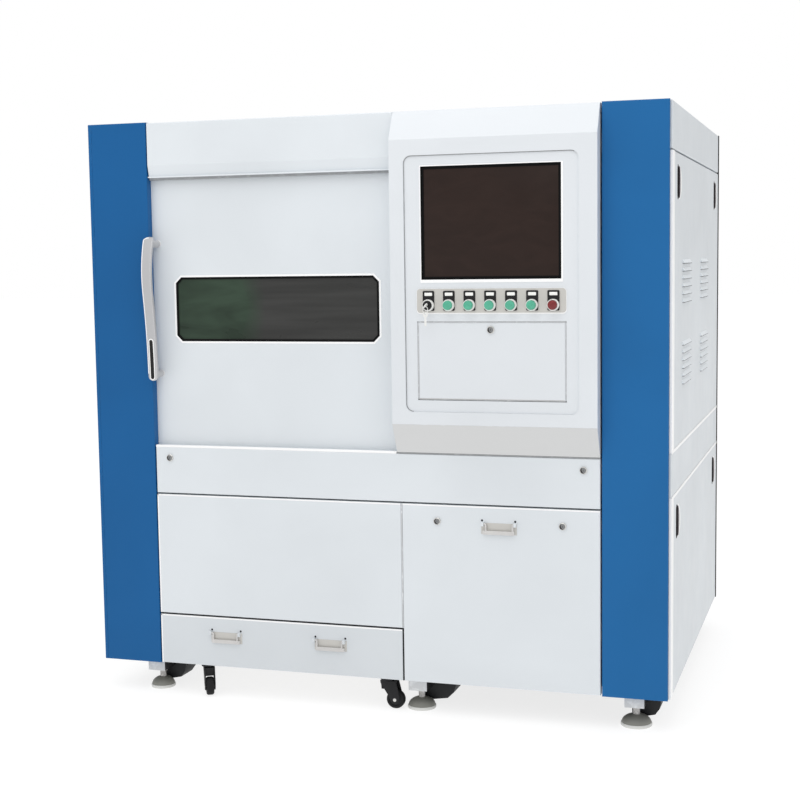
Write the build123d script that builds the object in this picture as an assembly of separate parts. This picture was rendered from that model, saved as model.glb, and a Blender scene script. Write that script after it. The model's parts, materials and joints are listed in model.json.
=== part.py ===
"""Fiber laser cutting machine: a floor-standing cabinet with its moving parts, in millimetres.

X runs to the right, Y to the back and Z up. The origin is on the floor under the middle of the outer box.
Depths are counted from the front face of the cabinet, positive to the back.
"""
import os
from math import atan2, cos, sin

from build123d import *

# Cabinet
BODY_WIDTH = 1570.0
BODY_DEPTH = 1170.0
FLOOR_CLEARANCE = 85.0
DRAWER_HEIGHT = 141.0
LOWER_PANEL_HEIGHT = 335.0
BAND_HEIGHT = 130.0
DOOR_OPENING_HEIGHT = 727.0
HEADER_HEIGHT = 147.0

# Sheet metal
SHEET = 2.0
BEND_RADIUS = 3.0
PANEL_GAP = 4.0
PANEL_DEPTH = 24.0
COVER_DEPTH = 22.0
COVER_INSET = 12.0

# Columns and header
COLUMN_WIDTH = 172.0
COLUMN_SETBACK = 6.0
COLUMN_LIP = 20.0
COLUMN_RETURN = 10.0
HEADER_LIP_HEIGHT = 30.0
HEADER_LIP_SET = 7.0

# Frame and feet
TUBE = 50.0
RAIL_DROP = 30.0
FOOT_LEFT_INSET = 144.0
FOOT_MIDDLE_INSET = 31.0
FOOT_RIGHT_INSET = 92.0
FOOT_DEPTH = 62.0
PAD_RADIUS = 40.0
PAD_RIM = 8.0
PAD_HEIGHT = 26.0
STUD_RADIUS = 8.0
BEAM_DROP = 30.0
LASER_SHELF_DEPTHS = (240.0, 800.0)
ELECTRIC_SHELF_DEPTHS = (780.0, 960.0)

# Console
CONSOLE_WIDTH = 529.0
CONSOLE_GAP = 2.0
CONSOLE_SHIFT = -4.0
CONSOLE_PROUD = 38.0
CONSOLE_CHIN = 77.0
CONSOLE_BROW = 74.0
CONSOLE_FLANGE = 20.0
CONSOLE_SLOPE_WALL = 3.2
RECESS_DEPTH = 4.0
RECESS_RADIUS = 20.0
RECESS_SIDE = 41.5
RECESS_TOP = 40.0
RECESS_BOTTOM = 33.0
SCREEN_WIDTH = 358.0
SCREEN_HEIGHT = 283.0
SCREEN_DROP = 28.0
SCREEN_RIM = 10.0
SCREEN_POCKET = 4.0
MONITOR_DEPTH = 34.0

# Switches
STRIP_WIDTH = 381.0
STRIP_HEIGHT = 60.0
STRIP_DROP = 23.0
STRIP_THICKNESS = 3.0
STRIP_RADIUS = 8.0
STRIP_SEAT = 5.0
SWITCH_COUNT = 7
SWITCH_PITCH = 53.3
SWITCH_RISE = 19.0
BUTTON_RADIUS = 11.5
BUTTON_CLEARANCE = 0.3
BUTTON_REACH = 8.0
BUTTON_TAIL = 2.0
RING_WALL = 3.0
RING_HEIGHT = 11.0
LEGEND_WIDTH = 30.0
LEGEND_HEIGHT = 50.0
LEGEND_THICKNESS = 2.0
LEGEND_FOOT = 14.0
KEY_BARREL_REACH = 2.0
KEY_REACH = 22.0
KEY_WIDTH = 22.0
KEY_THICKNESS = 2.5
KEY_CORNER = 4.0
KEY_TURN = 40.0

# Keyboard flap
FLAP_WIDTH = 383.0
FLAP_HEIGHT = 200.0
FLAP_DROP = 22.0
FLAP_GAP = 3.0
FLAP_DEPTH = 10.0
FLAP_LOCK_DROP = 21.0
HINGE_RISE = 5.0
HINGE_PIN_RADIUS = 3.0
HINGE_PIN_LENGTH = 10.0
HINGE_CLEARANCE = 0.05
HINGE_EAR = 4.0
HINGE_EAR_HEIGHT = 12.0
HINGE_EAR_DEPTH = 10.0
KEYBOARD_WIDTH = 350.0
KEYBOARD_HEIGHT = 140.0
KEYBOARD_RISE = 14.0
KEYBOARD_BASE = 10.0
KEYBOARD_KEYS = 5.0
KEYBOARD_MARGIN = 8.0

# Cam locks
LOCK_RADIUS = 9.5
LOCK_CLEARANCE = 0.1
LOCK_REACH = 3.0
LOCK_BODY = 14.0
LOCK_TONGUE = 24.0
LOCK_TONGUE_WIDTH = 12.0
LOCK_TONGUE_THICKNESS = 2.0
BAND_LOCK_INSET = 44.0
BAND_LOCK_DROP = 31.0
SERVICE_LOCK_INSET = 97.0
SERVICE_LOCK_DROP = 45.0

# Drop handles
BAIL_WIDTH = 78.0
BAIL_HEIGHT = 34.0
BAIL_ARM = 6.0
BAIL_GRIP = 13.0
BAIL_THICKNESS = 6.0
BAIL_STAND = 2.0
BAIL_HEAD = 3.0
BAIL_CORNER = 6.0
BAIL_PIN_RADIUS = 2.5
BAIL_PIN_CLEARANCE = 0.05
BAIL_SIDE_CLEARANCE = 0.5
LUG_WIDTH = 6.0
LUG_HEIGHT = 10.0
SERVICE_WIDTH = 522.0
SERVICE_BAIL_DROP = 46.0
DRAWER_BAIL_DROP = 45.0
DRAWER_BAIL_SHARES = (0.278, 0.707)

# Sliding door
DOOR_SET = 25.0
DOOR_DEPTH = 22.0
DOOR_LEFT_LAP = 20.0
DOOR_OVERLAP = 18.0
DOOR_TOP_LAP = 22.0
DOOR_BOTTOM_LAP = 7.0
WINDOW_LEFT = 84.0
WINDOW_WIDTH = 580.0
WINDOW_HEIGHT = 173.0
WINDOW_RISE = 286.0
WINDOW_CORNER = 16.0
GLASS_LAP = 9.0
GLASS_THICKNESS = 5.0
HANDLE_INSET = 32.0
HANDLE_RISE = 181.0
HANDLE_LENGTH = 384.0
HANDLE_WIDTH = 28.0
HANDLE_THICKNESS = 12.0
HANDLE_CORNER = 4.0
HANDLE_TOP_STAND = 24.0
HANDLE_BULGE_STAND = 42.0
HANDLE_BULGE_DROP = 105.0
HANDLE_FOOT_STAND = 20.0
HANDLE_POST_RADIUS = 9.0
HANDLE_POST_INSET = 16.0
HANDLE_SLOT_WIDTH = 10.0
HANDLE_SLOT_LENGTH = 100.0
HANDLE_SLOT_DEPTH = 3.0

# Door tracks
TRACK_DEPTH = 30.0
TRACK_HEIGHT = 45.0
TRACK_WALL = 3.0
TRACK_SLOT = 12.0
GUIDE_HEIGHT = 26.0
GUIDE_GROOVE = 8.0
GUIDE_GROOVE_DEPTH = 16.0
GUIDE_DROP = 8.0
SHOE_LENGTH = 60.0
SHOE_THICKNESS = 6.0
SHOE_INSET = 60.0
SHOE_HEAD = 12.0
SHOE_CLEARANCE = 0.3
SHOE_SIDE_CLEARANCE = 1.0
SHOE_DIP = 12.0

# Side and rear covers
SIDE_TOP_HEIGHT = 119.0
SIDE_UPPER_HEIGHT = 738.0
SIDE_MIDDLE_HEIGHT = 115.0
FINGER_SLOT_LENGTH = 88.0
FINGER_SLOT_WIDTH = 28.0
FINGER_SLOT_DROP = 72.0
FINGER_SLOT_DEPTHS = (120.0, 1035.0)
LOUVRE_LENGTH = 170.0
LOUVRE_PITCH = 20.0
LOUVRE_DROP = 10.0
LOUVRE_REACH = 6.0
LOUVRE_ROWS = 6
LOUVRE_DEPTHS = (306.0, 738.0)
LOUVRE_GROUP_DROPS = (263.0, 473.0)
REAR_LOUVRE_OFFSETS = (-380.0, 380.0)
REAR_LOUVRE_DROP = 140.0
REAR_LOWER_HEIGHT = 610.0

# Exhaust spigot
SPIGOT_RADIUS = 75.0
SPIGOT_WALL = 2.0
SPIGOT_LENGTH = 60.0
SPIGOT_FLANGE = 22.0
SPIGOT_FLANGE_THICKNESS = 3.0
SPIGOT_DROP = 300.0
SPIGOT_ACROSS = -150.0

# Scrap drawer
TRAY_SIDE_GAP = 20.0
TRAY_LENGTH = 780.0
TRAY_FLOOR = 82.0
TRAY_WALL_HEIGHT = 128.0
RUNNER_CLEARANCE = 0.5
RUNNER_RISE = 3.0
RUNNER_HEIGHT = 15.0
RUNNER_REACH = 14.0
LEDGE_REACH = 15.0
LEDGE_THICKNESS = 3.0
WHEEL_RADIUS = 25.0
WHEEL_WIDTH = 20.0
WHEEL_LIFT = 0.5
AXLE_RADIUS = 4.0
AXLE_CLEARANCE = 0.05
CASTER_LEFT_INSET = 109.0
CASTER_RIGHT_INSET = 41.0
CASTER_DEPTH = 36.0
CASTER_LEFT_TURN = -60.0
CASTER_TRAIL = 22.0
CASTER_HEAD_RADIUS = 20.0
CASTER_HEAD = 6.0
CASTER_CLEARANCE = 0.3
CASTER_STEM_RADIUS = 5.0
CASTER_STEM = 4.0
FORK_SIDE = 1.5
FORK_PLATE = 3.0
FORK_SHOULDER = 16.0
FORK_BOSS = 10.0
REAR_AXLE_INSET = 104.0
REAR_AXLE_RADIUS = 6.0
REAR_AXLE_END = 8.0
REAR_WHEEL_INSET = 96.0
REAR_WHEEL_SIDE = 3.0
BRACKET_THICKNESS = 4.0
BRACKET_LENGTH = 36.0
BRACKET_FOOT = 8.0

# Cutting machine inside
GIRDER_WIDTH = 80.0
GIRDER_HEIGHT = 80.0
GIRDER_MARGIN = 5.0
GIRDER_END = 6.0
GUIDE_RAIL = 20.0
TABLE_FRONT = 180.0
TABLE_LENGTH = 640.0
TABLE_BAR = 20.0
TABLE_DROP = 11.0
SLAT_COUNT = 10
SLAT_HEIGHT = 48.0
SLAT_THICKNESS = 3.0
SLAT_END_GAP = 2.0
SLAT_TEETH = 14
SLAT_TOOTH_HEIGHT = 14.0
CHUTE_SHEET = 2.0
CHUTE_SLOPE = 32.0
CHUTE_REAR_SLOPE = 40.0
CHUTE_BOTTOM_GAP = 25.0
GANTRY_DEPTH = 800.0
BEAM_DEPTH = 100.0
BEAM_HEIGHT = 100.0
BEAM_END = 10.0
RISER_WIDTH = 60.0
RISER_DEPTH = 190.0
RISER_HEIGHT = 93.0
BLOCK_WIDTH = 50.0
BLOCK_LENGTH = 60.0
BLOCK_SPREAD = 120.0
BLOCK_HEIGHT = 33.0
RAIL_CLEARANCE = 0.3
CROSS_RAIL = 12.0
CROSS_RAIL_SPREAD = 52.0
CROSS_RAIL_END = 58.0
CARRIAGE_WIDTH = 160.0
CARRIAGE_HEIGHT = 110.0
CARRIAGE_PLATE = 12.0
CARRIAGE_STAND = 4.0
CARRIAGE_HOOK = 28.0
HEAD_PLATE_WIDTH = 90.0
HEAD_PLATE_HEIGHT = 160.0
HEAD_PLATE = 13.0
HEAD_ARM_WIDTH = 50.0
HEAD_ARM_HEIGHT = 100.0
HEAD_STAND = 44.0
HEAD_RADIUS = 28.0
HEAD_LENGTH = 140.0
HEAD_CAP_RADIUS = 20.0
HEAD_CAP_LENGTH = 60.0
NOZZLE_SHOULDER = 22.0
NOZZLE_RADIUS = 12.0
NOZZLE_TIP_RADIUS = 3.0
NOZZLE_CONE = 45.0
NOZZLE_TIP = 20.0
NOZZLE_GAP = 27.0
LASER_WIDTH = 460.0
LASER_LENGTH = 640.0
LASER_HEIGHT = 220.0
LASER_FRONT = 200.0
LASER_PLATE = 6.0
LASER_EAR = 10.0
ELECTRIC_WIDTH = 480.0
ELECTRIC_LENGTH = 260.0
ELECTRIC_HEIGHT = 700.0
ELECTRIC_FRONT = 770.0
ELECTRIC_DOOR = 20.0
ELECTRIC_DOOR_INSET = 15.0

# Levels that follow from the values above
drawer_top = FLOOR_CLEARANCE + DRAWER_HEIGHT
band_bottom = drawer_top + LOWER_PANEL_HEIGHT
band_top = band_bottom + BAND_HEIGHT
header_bottom = band_top + DOOR_OPENING_HEIGHT
body_top = header_bottom + HEADER_HEIGHT
half_gap = PANEL_GAP / 2

# Places across the front
half_width = BODY_WIDTH / 2
column_inner = half_width - COLUMN_WIDTH
cover_back = half_width - COVER_DEPTH
post_inner = cover_back - TUBE
console_right = column_inner - CONSOLE_GAP
console_left = console_right - CONSOLE_WIDTH
console_middle = (console_left + console_right) / 2 + CONSOLE_SHIFT
service_left = column_inner - SERVICE_WIDTH
foot_left = FOOT_LEFT_INSET - half_width
foot_middle = service_left + FOOT_MIDDLE_INSET
foot_right = half_width - FOOT_RIGHT_INSET
foot_centres = (foot_left, foot_middle, foot_right)

# Depths of the frame tubes
front_tubes = (PANEL_DEPTH, PANEL_DEPTH + TUBE)
rear_tubes = (BODY_DEPTH - PANEL_DEPTH - TUBE, BODY_DEPTH - PANEL_DEPTH)
between_tubes = (front_tubes[1], rear_tubes[0])
rail_bottom = FLOOR_CLEARANCE - RAIL_DROP
rail_top = rail_bottom + TUBE
beam_level = (band_bottom - BEAM_DROP, band_bottom - BEAM_DROP + TUBE)
roof_level = (body_top - PANEL_DEPTH - TUBE, body_top - PANEL_DEPTH)
middle_post = (foot_middle - TUBE / 2, foot_middle + TUBE / 2)

# Console levels
console_bottom = band_top + half_gap
console_top = body_top - half_gap
front_bottom = console_bottom + CONSOLE_CHIN
front_top = console_top - CONSOLE_BROW
recess_top = front_top - RECESS_TOP
recess_bottom = front_bottom + RECESS_BOTTOM
recess_face = RECESS_DEPTH - CONSOLE_PROUD
recess_back = recess_face + SHEET
screen_top = recess_top - SCREEN_DROP
screen_middle = screen_top - SCREEN_HEIGHT / 2
strip_top = screen_top - SCREEN_HEIGHT - STRIP_DROP
strip_middle = strip_top - STRIP_HEIGHT / 2
strip_face = recess_face - STRIP_THICKNESS
legend_face = strip_face - LEGEND_THICKNESS
ring_face = legend_face - RING_HEIGHT
button_face = ring_face - BUTTON_REACH
button_back = recess_face + BUTTON_TAIL
switch_level = strip_top - STRIP_HEIGHT + SWITCH_RISE
switch_hole = BUTTON_RADIUS + BUTTON_CLEARANCE
key_face = ring_face - KEY_BARREL_REACH
flap_top = strip_top - STRIP_HEIGHT - FLAP_DROP
flap_bottom = flap_top - FLAP_HEIGHT
flap_hinge_level = flap_bottom + FLAP_GAP + HINGE_RISE
flap_hinge_depth = recess_face + FLAP_DEPTH / 2
flap_back = recess_face + FLAP_DEPTH
flap_lock_level = flap_top - FLAP_LOCK_DROP

# Door and track levels
door_left = -column_inner - DOOR_LEFT_LAP
door_right = console_left + DOOR_OVERLAP
door_bottom = band_top - DOOR_BOTTOM_LAP
door_top = header_bottom + DOOR_TOP_LAP
door_back = DOOR_SET + DOOR_DEPTH
track_bottom = roof_level[0] - TRACK_HEIGHT
track_middle = PANEL_DEPTH + TRACK_DEPTH / 2
guide_top = door_bottom - GUIDE_DROP
window_left = door_left + WINDOW_LEFT
window_middle = window_left + WINDOW_WIDTH / 2
window_level = door_bottom + WINDOW_RISE + WINDOW_HEIGHT / 2 + DOOR_BOTTOM_LAP
handle_middle = door_left + HANDLE_INSET
handle_bottom = door_bottom + HANDLE_RISE + DOOR_BOTTOM_LAP
handle_top = handle_bottom + HANDLE_LENGTH

# Inside levels
chamber_left = -post_inner
chamber_right = middle_post[0] - SHEET
girder_left = (chamber_left + GIRDER_MARGIN, chamber_left + GIRDER_MARGIN + GIRDER_WIDTH)
girder_right = (chamber_right - GIRDER_MARGIN - GIRDER_WIDTH, chamber_right - GIRDER_MARGIN)
girder_middles = (sum(girder_left) / 2, sum(girder_right) / 2)
chamber_middle = sum(girder_middles) / 2
girder_top = beam_level[1] + GIRDER_HEIGHT
guide_rail_top = girder_top + GUIDE_RAIL
bar_top = girder_top - TABLE_DROP
slat_top = bar_top + SLAT_HEIGHT
block_bottom = guide_rail_top - GUIDE_RAIL + CARRIAGE_STAND
block_top = block_bottom + BLOCK_HEIGHT
beam_bottom = block_top + RISER_HEIGHT
beam_middle = beam_bottom + BEAM_HEIGHT / 2
beam_face = GANTRY_DEPTH - BEAM_DEPTH / 2
cross_rail_face = beam_face - CROSS_RAIL
carriage_back = cross_rail_face - CARRIAGE_STAND
carriage_face = carriage_back - CARRIAGE_PLATE
head_back = carriage_face - RAIL_CLEARANCE
head_depth = carriage_face - HEAD_STAND
nozzle_level = slat_top + NOZZLE_GAP
head_bottom = nozzle_level + NOZZLE_TIP + NOZZLE_CONE

spigot_level = body_top - SPIGOT_DROP
spigot_bore = SPIGOT_RADIUS - SPIGOT_WALL

# Scrap drawer places
tray_left = foot_left + TUBE / 2 + TRAY_SIDE_GAP
tray_right = foot_middle - TUBE / 2 - TRAY_SIDE_GAP
tray_middle = (tray_left + tray_right) / 2
tray_top = TRAY_FLOOR + TRAY_WALL_HEIGHT
tray_back = PANEL_DEPTH + TRAY_LENGTH
rear_axle_depth = tray_back - REAR_AXLE_INSET
caster_centres = (tray_left + CASTER_LEFT_INSET, tray_right - CASTER_RIGHT_INSET)
drawer_width = column_inner + service_left
drawer_bail_centres = [share * drawer_width - column_inner for share in DRAWER_BAIL_SHARES]
rear_wheel_spread = tray_right - tray_left - 2 * REAR_WHEEL_INSET
axle_level = WHEEL_RADIUS + WHEEL_LIFT
drawer_bail_level = drawer_top - DRAWER_BAIL_DROP
service_middle = (service_left + column_inner) / 2
service_bail_level = band_bottom - SERVICE_BAIL_DROP
bail_axis = -(BAIL_STAND + BAIL_THICKNESS / 2)

# The outer box is centred on the origin
front_reach = max(KEY_REACH - key_face, HANDLE_BULGE_STAND + HANDLE_THICKNESS / 2)
rear_reach = max(LOUVRE_REACH, SPIGOT_LENGTH)
front_y = (front_reach - BODY_DEPTH - rear_reach) / 2


def block(across, depth, height):
    """Box between the given limits."""
    size = Box(across[1] - across[0], depth[1] - depth[0], height[1] - height[0])
    return Pos(sum(across) / 2, front_y + sum(depth) / 2, sum(height) / 2) * size


def rod_across(across, depth, height, radius):
    """Round bar along X."""
    bar = Rot(0, 90, 0) * Cylinder(radius, across[1] - across[0])
    return Pos(sum(across) / 2, front_y + depth, height) * bar


def rod_back(across, depth, height, radius):
    """Round bar along Y."""
    bar = Rot(90, 0, 0) * Cylinder(radius, depth[1] - depth[0])
    return Pos(across, front_y + sum(depth) / 2, height) * bar


def side_outline(points, across):
    """Outline of depth and height points, drawn out along X."""
    face = make_face(Polyline(*[(front_y + depth, height) for depth, height in points], close=True))
    solid = extrude(Plane.YZ * face, amount=across[1] - across[0], dir=(1, 0, 0))
    return Pos(across[0], 0, 0) * solid


def front_outline(points, depth):
    """Outline of across and height points, drawn out along Y."""
    face = make_face(Polyline(*points, close=True))
    plane = Plane(origin=(0, front_y + depth[0], 0), x_dir=(1, 0, 0), z_dir=(0, -1, 0))
    return extrude(plane * face, amount=depth[1] - depth[0], dir=(0, 1, 0))


def front_plane(across, depth, height):
    """Plane that looks out of the front."""
    return Plane(origin=(across, front_y + depth, height), x_dir=(1, 0, 0), z_dir=(0, -1, 0))


def front_cut(sketch, across, height, depth):
    """Sketch drawn through the given depths, seen from the front."""
    return extrude(front_plane(across, depth[0], height) * sketch, amount=depth[1] - depth[0], dir=(0, 1, 0))


def tray(width, height, depth):
    """Folded sheet with four returns, its face up at zero."""
    outer = Box(width, height, depth, align=(Align.CENTER, Align.CENTER, Align.MAX))
    outer = fillet(outer.faces().sort_by(Axis.Z)[-1].edges(), BEND_RADIUS)
    inside = Box(width - 2 * SHEET, height - 2 * SHEET, depth, align=(Align.CENTER, Align.CENTER, Align.MAX))
    return outer - Pos(0, 0, -SHEET) * inside


def front_panel(across, height, depth=0.0, thickness=PANEL_DEPTH):
    """Folded panel on the front, half a gap inside the given limits."""
    panel = tray(across[1] - across[0] - PANEL_GAP, height[1] - height[0] - PANEL_GAP, thickness)
    return front_plane(sum(across) / 2, depth, sum(height) / 2).location * panel


def group(pieces):
    """Separate solids kept together in one node."""
    solids = []
    for piece in pieces:
        solids.extend(piece.solids())
    return Compound(children=solids)


def make_frame():
    """Welded tubes: base rails, posts and beams, with two ledges for the drawer."""
    right_posts = (post_inner, cover_back)
    left_posts = (-cover_back, -post_inner)
    base_level = (rail_top, rail_top + TUBE)
    inner = (-post_inner, post_inner)
    right_bay = (middle_post[1], foot_right - TUBE / 2)
    tubes = []
    for centre in foot_centres:
        rail = (centre - TUBE / 2, centre + TUBE / 2)
        tubes.append(block(rail, (front_tubes[0], rear_tubes[1]), (rail_bottom, rail_top)))
    tubes.append(block((-cover_back, foot_left + TUBE / 2), front_tubes, base_level))
    tubes.append(block((middle_post[0], cover_back), front_tubes, base_level))
    tubes.append(block((-cover_back, cover_back), rear_tubes, base_level))
    for posts in (left_posts, right_posts):
        for depth in (front_tubes, rear_tubes):
            tubes.append(block(posts, depth, (base_level[1], roof_level[1])))
        for level in (beam_level, roof_level):
            tubes.append(block(posts, between_tubes, level))
    for depth in (front_tubes, rear_tubes):
        for level in (beam_level, roof_level):
            tubes.append(block(inner, depth, level))
    front_middle = (front_tubes[1], front_tubes[1] + TUBE)
    rear_middle = (rear_tubes[0] - TUBE, rear_tubes[0])
    for depth in (front_middle, rear_middle):
        tubes.append(block(middle_post, depth, (rail_top, roof_level[1])))
    for depth in LASER_SHELF_DEPTHS:
        tubes.append(block(right_bay, (depth, depth + TUBE), (rail_bottom, rail_top)))
    for depth in ELECTRIC_SHELF_DEPTHS:
        tubes.append(block((middle_post[1], post_inner), (depth, depth + TUBE), beam_level))
    ledge_top = TRAY_FLOOR + RUNNER_RISE - RUNNER_CLEARANCE
    ledge_level = (ledge_top - LEDGE_THICKNESS, ledge_top)
    left_face = tray_left - TRAY_SIDE_GAP
    right_face = tray_right + TRAY_SIDE_GAP
    for across in ((left_face, left_face + LEDGE_REACH), (right_face - LEDGE_REACH, right_face)):
        tubes.append(block(across, (PANEL_DEPTH, tray_back), ledge_level))
    return group(tubes)


def make_feet():
    """Levelling feet screwed into the base rails."""
    profile = [
        (0, 0),
        (PAD_RADIUS, 0),
        (PAD_RADIUS, PAD_RIM),
        (STUD_RADIUS + PAD_RIM, PAD_HEIGHT),
        (STUD_RADIUS, PAD_HEIGHT),
        (STUD_RADIUS, rail_bottom),
        (0, rail_bottom),
    ]
    foot = revolve(Plane.XZ * make_face(Polyline(*profile, close=True)), Axis.Z)
    feet = []
    for across in foot_centres:
        for depth in (FOOT_DEPTH, BODY_DEPTH - FOOT_DEPTH):
            feet.append(Pos(across, front_y + depth, 0) * foot)
    return group(feet)


def make_right_column():
    """Folded corner column with a lip to the frame."""
    across = (column_inner + half_gap, half_width - COLUMN_SETBACK)
    height = (FLOOR_CLEARANCE, body_top)
    column = block(across, (0, PANEL_DEPTH), height)
    column = fillet(column.faces().sort_by(Axis.Y)[0].edges(), BEND_RADIUS)
    inside = (across[0] + SHEET, across[1] - SHEET)
    ends = (height[0] + SHEET, height[1] - SHEET)
    column = column - block(inside, (SHEET, PANEL_DEPTH - SHEET), ends)
    column = column - block((across[0] + COLUMN_LIP, inside[1]), (SHEET, 2 * PANEL_DEPTH), ends)
    return column - block((inside[1] - SHEET, half_width), (COLUMN_RETURN, 2 * PANEL_DEPTH), (0, 2 * body_top))


def make_header():
    """Header over the door, with a sloped lower lip."""
    across = (half_gap - column_inner, console_left - half_gap)
    top = body_top - half_gap
    bottom = header_bottom + half_gap
    points = [
        (0, top),
        (PANEL_DEPTH, top),
        (PANEL_DEPTH, bottom),
        (HEADER_LIP_SET, bottom),
        (0, bottom + HEADER_LIP_HEIGHT),
    ]
    hollow = [
        (SHEET, top - SHEET),
        (2 * PANEL_DEPTH, top - SHEET),
        (2 * PANEL_DEPTH, bottom + SHEET),
        (HEADER_LIP_SET + SHEET, bottom + SHEET),
        (SHEET, bottom + HEADER_LIP_HEIGHT),
    ]
    header = side_outline(points, across)
    header = fillet(header.edges().filter_by(Axis.X).group_by(Axis.Y)[0].sort_by(Axis.Z)[-1:], BEND_RADIUS)
    return header - side_outline(hollow, (across[0] + SHEET, across[1] - SHEET))


def make_console():
    """Sloped console housing with its recess, openings and flap ears."""
    across = (console_left, console_right)
    inside = (console_left + SHEET, console_right - SHEET)
    front_wall = SHEET + RECESS_DEPTH - CONSOLE_PROUD
    outline = [
        (PANEL_DEPTH, console_bottom),
        (-CONSOLE_PROUD, front_bottom),
        (-CONSOLE_PROUD, front_top),
        (0, console_top),
        (PANEL_DEPTH, console_top),
    ]
    housing = side_outline(outline, across)
    edges = housing.edges().filter_by(Axis.X).group_by(Axis.Y)[0]
    housing = fillet(edges, BEND_RADIUS)
    hollow = [
        (PANEL_DEPTH - SHEET, console_bottom + CONSOLE_SLOPE_WALL + SHEET),
        (front_wall, front_bottom + CONSOLE_SLOPE_WALL),
        (front_wall, front_top - SHEET),
        (0, console_top - CONSOLE_SLOPE_WALL),
        (PANEL_DEPTH - SHEET, console_top - SHEET),
    ]
    housing = housing - side_outline(hollow, inside)
    flange = (console_left + CONSOLE_FLANGE, console_right - CONSOLE_FLANGE)
    flange_height = (console_bottom + CONSOLE_FLANGE, console_top - CONSOLE_FLANGE)
    housing = housing - block(flange, (PANEL_DEPTH - 2 * SHEET, 2 * PANEL_DEPTH), flange_height)
    recess = RectangleRounded(CONSOLE_WIDTH - 2 * RECESS_SIDE, recess_top - recess_bottom, RECESS_RADIUS)
    recess_level = (recess_top + recess_bottom) / 2
    housing = housing - front_cut(recess, console_middle, recess_level, (-2 * CONSOLE_PROUD, recess_face))
    through = (-2 * CONSOLE_PROUD, 0)
    screen = Rectangle(SCREEN_WIDTH, SCREEN_HEIGHT)
    housing = housing - front_cut(screen, console_middle, screen_middle, through)
    seat = Rectangle(STRIP_WIDTH - 2 * STRIP_SEAT, STRIP_HEIGHT - 2 * STRIP_SEAT)
    housing = housing - front_cut(seat, console_middle, strip_middle, through)
    flap_level = (flap_top + flap_bottom) / 2
    housing = housing - front_cut(Rectangle(FLAP_WIDTH, FLAP_HEIGHT), console_middle, flap_level, through)
    for side in (-1, 1):
        near = console_middle + side * (FLAP_WIDTH / 2 + HINGE_EAR / 2)
        ear_across = (near - HINGE_EAR / 2, near + HINGE_EAR / 2)
        ear_height = (flap_hinge_level - HINGE_EAR_HEIGHT / 2, flap_hinge_level + HINGE_EAR_HEIGHT / 2)
        ear = block(ear_across, (recess_back - SHEET / 2, recess_back + HINGE_EAR_DEPTH), ear_height)
        hole = rod_across((near - HINGE_EAR, near + HINGE_EAR), flap_hinge_depth, flap_hinge_level,
                          HINGE_PIN_RADIUS + HINGE_CLEARANCE)
        housing = housing + ear - hole
    return housing


def make_monitor():
    """Display case behind the console recess."""
    half = SCREEN_WIDTH / 2
    across = (console_middle - half - SCREEN_RIM, console_middle + half + SCREEN_RIM)
    height = (screen_top - SCREEN_HEIGHT - SCREEN_RIM, screen_top + SCREEN_RIM)
    case = block(across, (recess_back, recess_back + MONITOR_DEPTH), height)
    pocket = Rectangle(SCREEN_WIDTH, SCREEN_HEIGHT)
    return case - front_cut(pocket, console_middle, screen_middle, (recess_face, recess_back + SCREEN_POCKET))


def switch_places():
    """Switch centres across the console, from left to right."""
    first = console_middle - (SWITCH_COUNT - 1) * SWITCH_PITCH / 2
    return [first + number * SWITCH_PITCH for number in range(SWITCH_COUNT)]


def make_strip():
    """Switch strip with one hole for each switch."""
    sketch = RectangleRounded(STRIP_WIDTH, STRIP_HEIGHT, STRIP_RADIUS)
    strip = front_cut(sketch, console_middle, strip_middle, (strip_face, recess_face))
    for across in switch_places():
        strip = strip - rod_back(across, (strip_face - SHEET, recess_face + SHEET), switch_level, switch_hole)
    return strip


def make_legends():
    """Legend plates on the strip."""
    plates = []
    for across in switch_places():
        width = (across - LEGEND_WIDTH / 2, across + LEGEND_WIDTH / 2)
        height = (switch_level - LEGEND_FOOT, switch_level - LEGEND_FOOT + LEGEND_HEIGHT)
        plate = block(width, (legend_face, strip_face), height)
        hole = rod_back(across, (legend_face - SHEET, strip_face + SHEET), switch_level, switch_hole)
        plates.append(plate - hole)
    return group(plates)


def make_rings():
    """Switch rings in front of the legend plates."""
    rings = []
    for across in switch_places():
        ring = rod_back(across, (ring_face, legend_face), switch_level, switch_hole + RING_WALL)
        hole = rod_back(across, (ring_face - SHEET, legend_face + SHEET), switch_level, switch_hole)
        rings.append(ring - hole)
    return group(rings)


def make_button(number):
    """Push button that slides in its ring."""
    return rod_back(switch_places()[number], (button_face, button_back), switch_level, BUTTON_RADIUS)


def make_key_switch():
    """Key barrel with its key in place."""
    across = switch_places()[0]
    barrel = rod_back(across, (key_face, button_back), switch_level, BUTTON_RADIUS)
    half = KEY_WIDTH / 2
    bow = [
        (SHEET, -half / 3),
        (-KEY_REACH / 3, -half / 3),
        (-KEY_REACH / 2, -half),
        (KEY_CORNER - KEY_REACH, -half),
        (-KEY_REACH, -half / 2),
        (-KEY_REACH, half / 2),
        (KEY_CORNER - KEY_REACH, half),
        (-KEY_REACH / 2, half),
        (-KEY_REACH / 3, half / 3),
        (SHEET, half / 3),
    ]
    key = extrude(Plane.YZ * make_face(Polyline(*bow, close=True)), amount=KEY_THICKNESS / 2, both=True)
    key = Rot(0, KEY_TURN, 0) * key
    return barrel + Pos(across, front_y + key_face, switch_level) * key


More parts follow.
